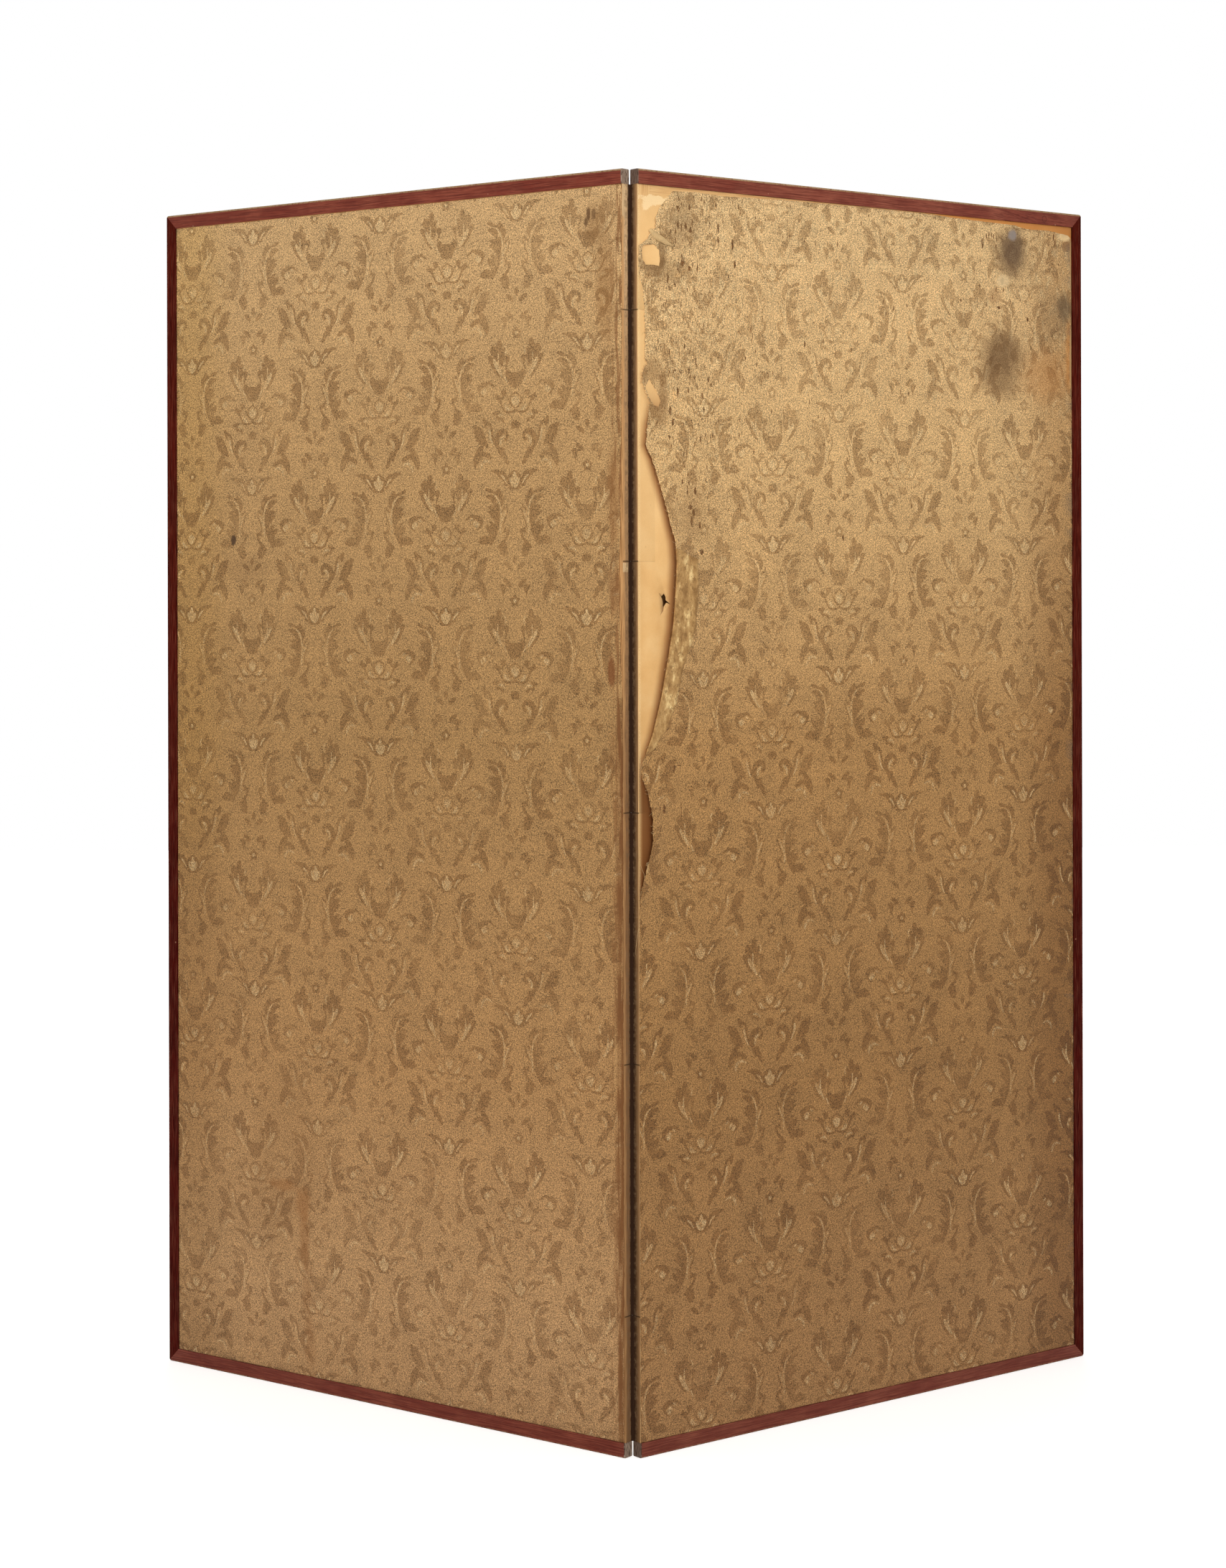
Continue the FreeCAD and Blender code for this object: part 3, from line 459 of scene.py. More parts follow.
def hinge_paper(side):
    """Hinge strips: cream laps on the back, and sides with grey-brown soiling, rubbed inside the fold, and
    painted shade that darkens them to near black deep in the groove between the leaves.
    """
    s, colour, fibre, (u, v, z) = paper(side, "hinge_paper")
    streak = s.streaks(v, z, 1.4, 34, 3, 8)
    blot = s.noise((v, z, 9), 0.16, 4, 0.65)
    tall = z / PANEL_HEIGHT
    depth = v + (s.centred(blot, 2) + s.centred(streak, 1.5))
    if side == "left":
        near = s.ramp(tall, ((0, (126, 92, 61)), (0.5, (146, 107, 70)), (0.85, (196, 156, 112)),
                             (0.94, (226, 188, 142))))
        loose = s.step(z + s.centred(blot, 14), 1656, 1660) * s.step(v + s.centred(streak, 6), 6, 8)
        tab = s.step(z, 1181, 1182.5) * s.step(z, 1194.5, 1193.5) * s.step(v, 3, 4.5)
        # Painted shade: near black where the side lies deep in the groove between the leaves, grey-brown
        # further out.
        soil_and_gap_shade = s.laid(
            (64, 40, 20), (s.step(depth, 1.8, 4.4), near),
            (s.step(v + s.centred(streak, 4), 10, 12.5) * s.step(z, 940, 1100, 0.36, 0.75),
             s.mix(streak, (188, 132, 78), (234, 184, 124))),
            (s.most(loose, tab), s.mix(streak, (206, 168, 118), (242, 210, 164))))
    else:
        near = s.ramp(tall, ((0, (138, 102, 66)), (0.3, (160, 120, 78)), (0.6, (150, 112, 72)),
                             (0.85, (178, 136, 92))))
        rim = s.step(v, 13, 14.3) * s.step(tall, 0.3, 0.55, 0.2, 0.9) * s.step(z, 1670, 1630, 0.3, 1)
        # Painted shade on this side too: near black deep in the groove, lightening gradually towards its
        # mouth.
        soil_and_gap_shade = s.laid((56, 34, 15), (s.step(depth, 2, 16), near), (rim, (244, 200, 140)))
    grimy = s.mix(streak, (96, 74, 52), (146, 118, 88))
    soil_and_gap_shade = s.toned(s.mix(s.step(blot, 0.44, 0.62) * s.step(v, 12, 9) * 0.5, soil_and_gap_shade, grimy), (streak, 0.45))
    ends = s.line(s.math("PINGPONG", z - 188, 168), 0, 1.6)
    # Painted shade: darkest right at the back of the groove. The dark lines at the strips' ends are their
    # joints.
    soil_and_gap_shade = s.laid(soil_and_gap_shade, (s.step(v, 2.6, 1.4), (48, 26, 8)), (ends * 0.85, (42, 26, 12)))
    aged = s.mix(s.noise((u, z, 1), 0.012, 4, 0.6), (172, 144, 98), (206, 180, 132))
    colour = s.laid(colour, (s.step(u + s.centred(fibre, 0.15), 1.3, 1.9, 1, 0), soil_and_gap_shade),
                    (s.step(v, 3, 1.6) * s.step(u, 1.6, 3) * 0.97, aged))
    return s.finish(colour, fibre + streak * 0.6, 0.0001, 0.8)


# The lacquer's own colour, a paler one in clouds, and the dark one low in the grain
LACQUER = {
    ("left", "stile"): ((64, 8, 2), (79, 14, 6), (42, 3, 1)),
    ("right", "stile"): ((64, 8, 2), (79, 14, 6), (42, 3, 1)),
    ("left", "rail"): ((122, 51, 36), (144, 72, 53), (82, 25, 15)),
    ("right", "rail"): ((126, 59, 44), (148, 81, 62), (87, 31, 21)),
}


def lacquer(side, member):
    """Red-brown lacquer rubbed into an open grain that runs along the member, dusty where it is worn."""
    is_stile = member == "stile"
    s = Shade(side + "_lacquer_" + member, roughness=0.5, specular=0.02 if is_stile else 0.13)
    u, v, z = s.leaf(side)
    along, across = (z, u) if is_stile else (u, z)
    wave = s.centred(s.streaks(across, along, 26, 260, 2, 3), 7)
    if side == "right" and not is_stile:
        wave = wave + s.step(z, 1690, 1700) * s.step(u, 640, 850, 0, 16)
    bent = across + wave
    grain = s.noise((bent * 0.9, along * 0.012, (v + wave) * 0.5), 1, 3, 0.6)
    fine = s.noise((bent * 2.2, along * 0.03, v), 1, 2)
    dust = s.noise((u, v, z), 0.25, 4, 0.7)
    base, pale, low = LACQUER[side, member]
    arris = s.most(s.step(v, 15.2, 16.6, 0.14, 1), s.step(v, 1.9, 0.5))
    worn = s.most(s.step(z, 1716.6, 1718.6) * s.step(dust, 0.35, 0.55, 0.35, 1) * arris * 0.8,
                  s.step(z, 2.6, 0.6) * s.step(dust, 0.4, 0.6) * arris * 0.7,
                  s.step(u, 857.6, 859.6) * s.step(dust, 0.45, 0.62) * arris * 0.5)
    colour = s.laid(
        base, (s.step(s.noise((u, v, z), 0.02, 3, 0.6), 0.35, 0.7), pale),
        (s.step(z, 600, 1150, 0, 0.3), (104, 34, 18)) if is_stile else
        (s.step(z, 900, 100, 0, 0.25), (84, 40, 32)),
        (s.step(grain, 0.52, 0.44) * 0.6, low), (s.step(fine, 0.54, 0.66) * 0.34, (158, 92, 70)),
        (s.step(fine, 0.46, 0.36) * 0.5, low), (worn, (176, 152, 112)))
    if not is_stile:
        grey = (166, 146, 128) if side == "left" else (116, 98, 86)
        bare = s.mix(s.step(s.streaks(v, z, 0.9, 9, 2, 5), 0.52, 0.4), grey, (74, 54, 42))
        colour = s.mix(s.step(u + s.centred(dust, 0.8), 1.4, 2.6, 1, 0) * 0.95, colour, bare)
        if side == "right":
            du, dz = u - 780, z - 1708
            ring = s.line(s.math("SQRT", du * du + dz * dz), 4.4, 1.2)
            colour = s.mix(ring * 0.55, colour, (66, 24, 16))
    colour = s.mix(s.step(s.cells((u, v, z), 0.035), 0.035, 0.05, 1, 0) * 0.55, colour, (176, 128, 100))
    return s.finish(colour, grain * 0.8 + fine * 0.6, 0.0002, 0.7, s.centred(dust, 0.14) + 0.48)


def cedar(side):
    """Plain cedar for the core and its lattice."""
    s = Shade(side + "_cedar", roughness=0.7, specular=0.25)
    u, v, z = s.leaf(side)
    rings = s.noise((u * 0.25, v * 0.8, z * 0.03), 1, 3, 0.6, 0.4)
    colour = s.ramp(rings, ((0.3, (150, 108, 66)), (0.5, (184, 142, 94)), (0.7, (204, 166, 116))))
    return s.finish(colour, rings, 0.0002, 0.6)


def iron(side):
    """Hand-made nails, black with rust."""
    s = Shade(side + "_nail_iron", roughness=0.6, specular=0.5)
    rust = s.noise(s.leaf(side), 0.5, 4, 0.7)
    s.inputs["Metallic"].default_value = 0.4
    colour = s.ramp(rust, ((0.35, (52, 46, 44)), (0.55, (88, 58, 42)), (0.7, (134, 78, 46))))
    return s.finish(colour, rust, 0.0003, 0.8)


def ground_paper(side):
    """The picture side: plain aged paper laid in sheets, with faint overlaps, and no picture."""
    s = Shade(side + "_ground_paper", roughness=0.75, specular=0.2)
    u, v, z = s.leaf(side)
    fibre = s.noise((u, z, 2), 0.7, 4, 0.65)
    laps = s.most(s.line(s.math("PINGPONG", u - 36, 192), 0, 2.6),
                  s.line(s.math("PINGPONG", z - 56, 268), 0, 2.6))
    edge = s.most(s.step(u, 40, 110, 1, 0), s.step(u, 800, 740, 1, 0), s.step(z, 60, 150, 1, 0),
                  s.step(z, 1660, 1600, 1, 0))
    colour = s.laid(
        s.ramp(s.noise((u, z, 1), 0.006, 4, 0.6),
               ((0.3, (196, 170, 122)), (0.5, (208, 184, 138)), (0.75, (216, 194, 150)))),
        (laps * 0.3, (166, 136, 90)),
        (s.step(s.cells((u, z, 0), 0.02), 0.03, 0.07, 1, 0) * 0.4, (156, 118, 70)),
        (edge * 0.22, (160, 124, 78)))
    colour = s.toned(colour, (fibre, 0.07), (s.streaks(u, z, 0.8, 9, 3, 3), 0.05))
    return s.finish(colour, fibre + laps, 0.0001, 0.7)


def brocade(side):
    """The woven border: a small lattice of lozenges with a dot in each, in old green and straw."""
    s = Shade(side + "_brocade", roughness=0.6, specular=0.3)
    u, v, z = s.leaf(side)
    pitch = 9
    plus, minus = s.math("PINGPONG", u + z, pitch), s.math("PINGPONG", u - z, pitch)
    dot = s.step(plus, pitch * 0.62, pitch * 0.8) * s.step(minus, pitch * 0.62, pitch * 0.8)
    lattice = s.most(s.line(plus, 0, 1.3), s.line(minus, 0, 1.3), dot)
    thread = s.streaks(u, z, 0.7, 4, 2, 3)
    colour = s.mix(s.step(s.noise((u, z, 1), 0.02, 3, 0.6), 0.3, 0.7), (74, 78, 58), (92, 92, 68))
    colour = s.toned(
        s.mix(lattice * 0.8, colour, (168, 142, 90)), (thread, 0.2), (s.streaks(z, u, 0.7, 4, 2, 4), 0.16))
    return s.finish(colour, thread + lattice, 0.00015, 0.8)


SKINS = {side: {
    "damask": damask(side), "under": under_paper(side), "hinge": hinge_paper(side),
    "stile": lacquer(side, "stile"), "rail": lacquer(side, "rail"), "cedar": cedar(side),
    "iron": iron(side), "ground": ground_paper(side), "brocade": brocade(side),
} for side in ("left", "right")}
REVERSE = reverse_silk("silk_reverse", 0.0)
# The curled rag and the loose threads: the same wrong side, painted lighter, partly as painted light.
RAG = reverse_silk("silk_rag", 0.55)


def dress_nodes():
    """Gives every CAD node its material."""
    kinds = (("frame_nails", "iron"), ("frame_stile", "stile"), ("frame_", "rail"), ("core_", "cedar"),
             ("lattice_", "cedar"), ("underpaper", "under"), ("front_ground", "ground"),
             ("front_border", "brocade"), ("back_cloth", "damask"), ("side_facing", "hinge"),
             ("hinge_", "hinge"))
    for name, node in frame["nodes"].items():
        side = body_of(node)[0].split("_")[0]
        kind = next(skin for words, skin in kinds if words in name)
        node.material_slots[0].material = SKINS[side][kind]


# The damask's figure, traced from the photographed silk. Half shapes, in millimetres from the
# flower's middle, as x and y in turn; each is mirrored about its axis. The lotus and the tulip stand half a
# repeat apart. The bodies join the lobes of the leaves.
LOTUS_DARK = (
    (27, 33.5, 31, 36, 35.5, 40, 39.5, 44.5, 43, 50, 46, 55.5, 49, 60, 49, 63.5, 46, 65, 43, 64.5, 41, 61,
     40.5, 56, 38.5, 50.5, 35, 45, 30.5, 39.5),
    (34, 78, 36, 77, 38, 78.8, 41, 78.2, 43.5, 75.5, 45.5, 72, 44.5, 68, 42, 65.5, 39.5, 62.5, 37, 60.5,
     35.5, 63, 34, 68, 32.5, 73),
    (24, 78, 24.5, 83, 27, 86.3, 30, 86, 32.5, 82.5, 33.3, 77, 32.5, 72, 30.5, 69, 28.5, 69, 26.5, 71, 25,
     74),
    (18.5, 73.5, 20.5, 75, 22.5, 74.5, 24.5, 72, 25.5, 67, 25.5, 60, 26.5, 53, 25.5, 48.5, 23.5, 48.5, 22,
     52, 21, 57, 18, 58.5, 13.5, 58, 11, 60, 13.5, 62.8, 17.5, 63, 19.5, 64.5, 20, 69),
    (12, 63.5, 17, 63, 18.5, 60, 17, 55, 17.5, 49, 18, 44, 16.5, 44, 15, 49, 13, 54, 10.5, 59),
    (0, 40, 3, 40.5, 6, 40, 8.5, 40.8, 10.5, 43.2, 14, 44.2, 17, 43, 18.2, 39.5, 17.5, 35.5, 15.8, 31.5,
     12.5, 28.5, 11, 24, 8.5, 20.5, 6.5, 18.5, 5, 21, 3, 18, 1.5, 21.5, 0, 17),
    (0, 14.2, 2.8, 12.6, 5.6, 10.8, 9.3, 9, 10.4, 5.2, 10.4, 1, 8.8, -3.6, 4.8, -7.6, 0, -9.8, 0, -8.3, 4,
     -6.3, 7.2, -2.9, 8.7, 1, 8.7, 4.8, 7.8, 7.6, 4.9, 8.9, 2.4, 10.4, 0, 11.8),
    (16.2, 10.4, 13.8, 4.2, 11.3, -1.8, 7.6, -6.6, 2, -9, 2, -7.6, 6.4, -5.2, 9.7, -1.2, 12.2, 4.2, 14.6,
     9.8),
    (17, 9, 16.5, 13, 17.5, 16.5, 19.5, 15.5, 20.5, 18.3, 22.5, 16, 25.5, 16, 25.5, 12.5, 24, 8.5, 22, 6.5,
     19.5, 8),
    (41, 8.5, 36, 7, 35.5, 12, 30.5, 9, 26, 7, 21.5, 6, 22, 4.5, 25.5, 4.5, 26, 1.5, 24.5, -2.5, 22.5, -6.5,
     20.5, -10, 17.5, -12.6, 12, -13.2, 6, -12.8, 3, -11.5, 0, -9.9, 0, -12.5, 4, -14.3, 10, -15.3, 16.5,
     -15.2, 20.5, -13.4, 23, -10, 25.5, -5.5, 28.5, -0.5, 31.5, 2, 35, 4.5),
    (36, 20.5, 40, 24.3, 44, 27.3, 48.5, 29.5, 50, 28, 54, 28.3, 60, 27.8, 65, 26, 68, 22.5, 68.3, 18.5,
     66.5, 14, 63.5, 10.5, 60, 8, 56.5, 7.8, 59, 10.5, 62, 13.5, 63, 16.5, 60.5, 19.5, 55, 22.5, 50.5, 23,
     47, 25.5, 43.5, 24, 40.5, 21.8),
    (27, -13.5, 31, -12, 36.5, -12.6, 41, -14.5, 38.5, -17.5, 35, -17.5, 34.5, -20.5, 33, -23.5, 30, -25.5,
     28, -23.3, 25, -25.3, 21.5, -28.5, 19.5, -25.5, 22, -23, 24, -21.3, 26.5, -22, 29.5, -20.3, 31.5,
     -20.5, 31.5, -17.2, 29, -15.5),
    (0, -26.5, 1.5, -24.5, 3, -27, 5.5, -25.5, 6, -28.5, 8, -29.5, 7.5, -33, 6, -36.5, 2.5, -37, 0, -36),
    (47, -26.5, 50, -26, 53, -23.5, 57, -20.8, 59, -23.5, 57.5, -28, 56.5, -32, 54, -35, 51.5, -33, 50.5,
     -30, 47.5, -31, 45.5, -34.5, 44, -40, 42.5, -47, 41, -53, 39, -58, 37.5, -56.5, 39.3, -50, 40.3, -44,
     41, -38, 43, -32),
    (39.5, -56.5, 40.5, -51.5, 37.5, -48.5, 35.5, -44.5, 33, -41, 29, -38, 24.5, -36.8, 19.5, -37.8, 15,
     -40, 13, -44, 12.5, -48, 14.5, -51.5, 17, -54.5, 19.5, -53.5, 20.5, -50.5, 17.5, -48.5, 17, -45.5, 20,
     -43.8, 24, -44.8, 27.5, -47.5, 29.5, -51, 29.5, -55, 31, -58, 35, -58),
    (38.5, -58, 34.5, -62, 32, -66, 30.5, -70, 27.5, -73, 28, -76.5, 24, -75.5, 21, -78.5, 19, -83, 14,
     -86.5, 11, -84, 13.5, -80, 14.5, -75, 17, -71.5, 20.5, -69, 19.5, -65.5, 22, -62.5, 27, -63, 29.5,
     -59.5, 30.5, -55.5, 34, -55),
    (76, -31, 69, -31.5, 62.5, -34, 58.5, -38.5, 55.5, -44.5, 52, -51, 49.5, -57, 48.5, -61, 53, -61, 58,
     -58.5, 62, -57.8, 66.5, -57, 65, -54, 70.5, -53, 69.5, -49.5, 73.5, -47.5, 72, -43.5, 75.5, -41, 73.5,
     -37, 76.5, -34.5),
    (56, -60.5, 60, -58.5, 64, -59.5, 68, -63, 71.5, -68, 74, -73, 75.5, -79, 75, -85, 73, -90, 69.5, -86,
     66.5, -82, 64, -78.5, 61.5, -75.5, 57, -74, 52, -75.5, 47.5, -78, 42, -77, 44, -73, 48, -70, 54, -68,
     59, -67, 58, -63.5),
)
LOTUS_BODY = (
    (21, 60, 22, 66, 24, 71, 28, 72, 33, 72, 36, 66, 40, 62, 41, 57, 38.5, 51, 35, 47, 31.5, 47, 29, 50,
     25.5, 52, 24, 56),
)
LOTUS_LIGHT = (
    (0, 9, 1.5, 6.5, 3, 6, 6, 5, 6.5, 2, 5.5, -2, 3, -5, 0, -6.5),
    (19, -3, 20, -6, 18.5, -9.5, 15.5, -11.8, 9, -12, 8, -11, 11, -9.5, 13.5, -7, 15.5, -4.5, 17, -2.5),
    (38.5, 60, 40, 57, 38, 51.5, 34.5, 46, 29.5, 40.5, 24, 34.5, 22, 36, 25, 42, 28, 48, 29.5, 56, 29.5, 66,
     31, 66.5, 31.5, 58, 33, 54, 35, 58),
    (17, 77, 19.5, 77.5, 18.5, 75.5, 16.5, 72.5, 18, 67, 17, 66, 14.5, 71),
    (18.3, 37.2, 19.9, 36.4, 15.8, 26.4, 14.4, 27),
    (50.5, 16, 53, 19.5, 56.5, 20.3, 59, 17.5, 62, 15.5, 61, 12.5, 58, 9.5, 55.5, 11, 53, 12.5),
    (43.5, 20, 47, 23.5, 49.5, 25, 50, 23.5, 46.5, 20.5),
    (17, -23.5, 19.5, -22, 21.5, -19, 24, -20, 27, -18.5, 30, -19.3, 30.5, -17.8, 27.5, -16.8, 24, -15.8,
     22, -16.8, 19, -19.5),
    (46.5, -36, 48, -42, 46.5, -48, 43, -55, 40, -60, 38.5, -59.5, 42, -52, 44, -44, 44.5, -38),
    (20, -46.5, 24, -46.8, 27.5, -50, 28.5, -54.5, 27.5, -59.5, 25, -58, 25, -53, 22, -50),
    (42, -84, 46, -80.5, 51, -78.8, 56.5, -79.5, 61, -83, 63.5, -89, 62, -94, 60, -90, 57.5, -85, 53, -82,
     48, -82.5),
)
TULIP_DARK = (
    (0, 89.5, 3, 88.5, 8, 85.5, 10, 84, 12, 80, 12.5, 76, 11.5, 71, 9.5, 67.5, 12, 65, 8, 63.3, 3, 63, 0,
     63),
    (10.5, 72, 12.5, 77, 14, 82, 17, 86, 21, 88.8, 26, 88.8, 30, 90, 36, 90, 44, 88.5, 38, 86.5, 33, 84.5,
     30, 82, 27, 79.5, 24.5, 76.5, 20.5, 75, 18.5, 72, 19, 69.5, 15.5, 67.5, 12, 67.5, 11, 69.5),
    (18.5, 50, 20.5, 55.5, 23.5, 58.5, 26, 61.5, 30.5, 64.8, 31.5, 61.5, 36.5, 60.5, 41, 62.8, 46, 64.8, 52,
     64.5, 50, 61, 45.5, 59.2, 40, 58.3, 35, 56.8, 31.5, 54.3, 28.5, 51.3, 26, 48, 25, 43, 24, 38.5, 22, 41,
     19.5, 45),
    (33, 50.5, 35.5, 53.5, 39, 55.3, 43.5, 56.8, 48, 56, 52, 54.3, 48.5, 51.5, 45, 50.5, 43, 48, 40.5, 45.5,
     37.5, 43, 34.5, 42, 33, 44, 32.5, 47),
    (29.5, 36, 31, 41, 34, 43.5, 37.5, 41, 42.5, 41.3, 48.5, 39, 45, 36.5, 43, 35, 49, 32.5, 45, 30, 43.5,
     27.5, 40, 26, 39.5, 22.5, 35, 22, 33, 20, 31, 16.5, 29.8, 19, 32, 24, 31, 28, 28.5, 31),
    (30, 10, 33, 13, 37, 16.5, 42, 19.3, 46.5, 19.2, 43, 15.5, 42, 13, 46, 13.5, 50.5, 15, 51, 11, 49.5,
     6.5, 46, 4, 44.5, 0.5, 40, 0, 40.5, 4, 38, 6, 33, 2.5, 31.5, 4.5),
    (37, -3, 40, 0.5, 44.5, 0, 46, -2, 50, -0.8, 54, 0, 57.5, -0.8, 60.5, -3, 63.5, -6, 65, -9, 61.5, -11.2,
     57.5, -12.2, 53, -11.8, 49, -12.5, 45.5, -11, 43.5, -15, 41, -13.5, 39.5, -10.5, 36.5, -7.5),
    (13, 44.5, 15.5, 41.5, 15.8, 38, 17.5, 38.5, 19.5, 39.5, 21, 36, 21.5, 33.5, 18.5, 35, 15.8, 36.5, 13.8,
     38.5, 13.3, 41.5),
    (11, 38.5, 12.5, 38, 15, 29, 19, 21.5, 21.5, 14.5, 21, 9.5, 19.3, 10, 19.5, 14.5, 17, 21, 13.5, 28.5),
    (9.5, 8, 14, 8.3, 15.5, 10.3, 19.5, 10.5, 19.3, 7.5, 20.5, 5, 22.5, 3, 19, 3.8, 15.5, 5, 14.3, 3, 15.8,
     -1, 18, -4.5, 22, -7.5, 25, -10, 20.5, -11, 16, -8, 13, -4, 11, 0.5, 10, 4),
    (20, -9, 24.5, -10.5, 28.5, -13, 30.8, -17, 28, -18.5, 25.5, -19, 28.5, -21.5, 25, -23, 24.5, -26, 20.5,
     -29, 17, -28.5, 13, -28.8, 15, -25.5, 11, -23.5, 14, -21, 12.5, -18, 15, -16, 13.5, -13, 16.5, -13,
     17.5, -10),
    (0, -27.5, 2.5, -29.5, 4, -33, 3, -36.5, 0.8, -38.5, 0, -43),
    (19, -37.5, 15.5, -36.8, 11, -38, 8, -40.5, 5.5, -44, 6.5, -48, 9.5, -46.5, 13.5, -44.5, 17, -41.5),
    (6, -70, 8, -65.5, 11.5, -62.5, 16, -60.8, 20, -60.5, 19.5, -64.5, 15.5, -67, 14.5, -70.5, 10.5, -70.5),
    (28, -68.5, 23, -67, 18.5, -68, 15.5, -71, 17.5, -75, 19.5, -80, 21, -84, 22.5, -79, 24.5, -74),
)
TULIP_BODY = (
    (27.5, 42, 31, 44, 35, 43, 37, 38, 34, 33, 35.5, 26, 36.5, 21.5, 34.5, 15, 36.5, 9, 39, 3, 41.5, -2,
     42.5, -8, 37.5, -8.5, 33.5, -3, 30.5, 3, 28.5, 9, 27.3, 16, 26.4, 24, 26.2, 32, 26.6, 38),
    (14, -12, 20, -11, 23, -15, 22, -21, 18, -24.5, 14.5, -22, 15, -17),
)
TULIP_LIGHT = (
    (0, 87.5, 3, 82.5, 5, 79, 8.5, 79.5, 9, 75, 7.5, 71, 5, 67.5, 2, 65.5, 0, 65),
    (12.5, 70.5, 15, 75, 17.5, 79.5, 21.5, 82.5, 25, 83, 22, 79, 19.5, 77, 17, 73.5, 14.5, 70.5),
    (24, 2, 26, 4, 26.3, 12, 25, 18, 22, 23.5, 19.5, 28.5, 17, 33.5, 16, 33, 18, 27.5, 20.5, 22, 23.5, 16.5,
     24.5, 10),
    (25.5, 17, 24.8, 24, 24.5, 30, 26.5, 38, 28.5, 45.5, 32, 51, 37, 55.2, 36, 56, 31, 52.5, 27, 46.5, 24.8,
     39, 23.3, 31, 23.8, 22),
)
# Rows of lotus flowers, as found on the photographed silk: height in the leaf and u of one flower
ROWS = {
    "left": ((1784, 434), (1600, 307.5), (1416, 434), (1233, 311.5), (1045, 436), (859, 309.5), (673, 435),
             (497, 307.5), (306, 432), (126, 305.5), (-58, 432)),
    "right": ((1703, 487), (1519, 363.5), (1329, 489), (1144, 364.5), (960, 487), (776.5, 359.5), (592, 481),
              (408, 356.5), (224, 481), (40, 356.5)),
}
# How far apart the teeth along the leaves of the figure stand
TOOTH_PITCH = 5.2


def area_of(loop):
    return sum(a[0] * b[1] - b[0] * a[1] for a, b in zip(loop, loop[1:] + loop[:1])) / 2


def rounded(numbers, toothed):
    """A loop, given as x and y in turn, with points added on a smooth curve between its corners. A toothed
    one gets small notches on the sides that face away from the flower's axis, as the edge of a leaf has."""
    loop = list(zip(numbers[::2], numbers[1::2]))
    if area_of(loop) < 0:
        loop = loop[::-1]
    found = []
    count = len(loop)
    fuller = 1.0 if area_of(loop) > 70 else 0.5
    for i, point in enumerate(loop):
        before, after, beyond = loop[i - 1], loop[(i + 1) % count], loop[(i + 2) % count]
        found.append(point)
        length = math.dist(point, after)
        if length < 3.2 or (point[0] == 0 and after[0] == 0):
            continue
        normal = ((after[1] - point[1]) / length, (point[0] - after[0]) / length)
        notched = toothed and normal[0] > 0.1
        teeth = max(1, round(length / TOOTH_PITCH)) if notched else 1
        out = fuller if toothed else 0.0
        for k in range(1, 2 * teeth):
            t = k / (2 * teeth)
            curve = [(1 - t) * point[c] + t * after[c]
                     + t * (1 - t) / 4 * (point[c] + after[c] - before[c] - beyond[c]) for c in (0, 1)]
            inward = (min(1.1, 0.24 * length / teeth) if notched and k % 2 else 0.0) - out
            found.append((max(0.0, curve[0] - inward * normal[0]), curve[1] - inward * normal[1]))
    return found


def five_petals(middle, reach, wave, count=30):
    turns = [2 * math.pi * i / count for i in range(count)]
    radii = [reach + wave * math.cos(5 * turn) for turn in turns]
    return [(r * math.sin(turn), middle + r * math.cos(turn)) for r, turn in zip(radii, turns)]


def figure_shapes(side):
    """Every outline of the damask's figure on one leaf, with its kind, as loops of (u, z)."""
    shapes = []
    half = REPEAT_WIDTH / 2
    sets = ((LOTUS_DARK, DARK, 0.0, True), (LOTUS_BODY, DARK, 0.0, False), (LOTUS_LIGHT, LIGHT, 0.0, False),
            (TULIP_DARK, DARK, half, True), (TULIP_BODY, DARK, half, False),
            (TULIP_LIGHT, LIGHT, half, False))
    smooth = [(shift, rounded(loop, toothed), kind) for loops, kind, shift, toothed in sets for loop in loops]
    flower = ((five_petals(-90.0, 7.6, 1.5), DARK), (five_petals(-90.0, 3.0, 0.0, 8), LIGHT))
    for row_z, row_u in ROWS[side]:
        for step in range(-4, 5):
            middle = row_u + step * REPEAT_WIDTH
            for shift, loop, kind in smooth:
                for mirror in (-1, 1):
                    shapes.append(([(middle + shift + mirror * x, row_z + y) for x, y in loop], kind))
            for loop, kind in flower:
                shapes.append(([(middle + half + x, row_z + y) for x, y in loop], kind))
    inside = []
    for loop, kind in shapes:
        reach_u, reach_z = zip(*loop)
        if max(reach_u) > 0 and min(reach_u) < PANEL_WIDTH and max(reach_z) > 15 and min(reach_z) < 1705:
            inside.append((loop if area_of(loop) > 0 else loop[::-1], kind))
    return inside


class Spots:
    """Points sorted by height, so that those inside a loop are found quickly."""

    def __init__(self, spots):
        self.order = np.argsort(spots[:, 1])
        self.x, self.y = spots[self.order, 0], spots[self.order, 1]

    def inside(self, loop):
        edge = np.array(loop)
        low, high = edge.min(0), edge.max(0)
        first, last = np.searchsorted(self.y, (low[1], high[1]))
        near = first + np.flatnonzero((self.x[first:last] > low[0]) & (self.x[first:last] < high[0]))
        x, y = self.x[near], self.y[near]
        crossed = np.zeros(len(near), bool)
        for (x0, y0), (x1, y1) in zip(edge, np.roll(edge, -1, 0)):
            if y0 != y1:
                crossed ^= ((y0 > y) != (y1 > y)) & (x < x0 + (x1 - x0) * (y - y0) / (y1 - y0))
        return self.order[near[crossed]]


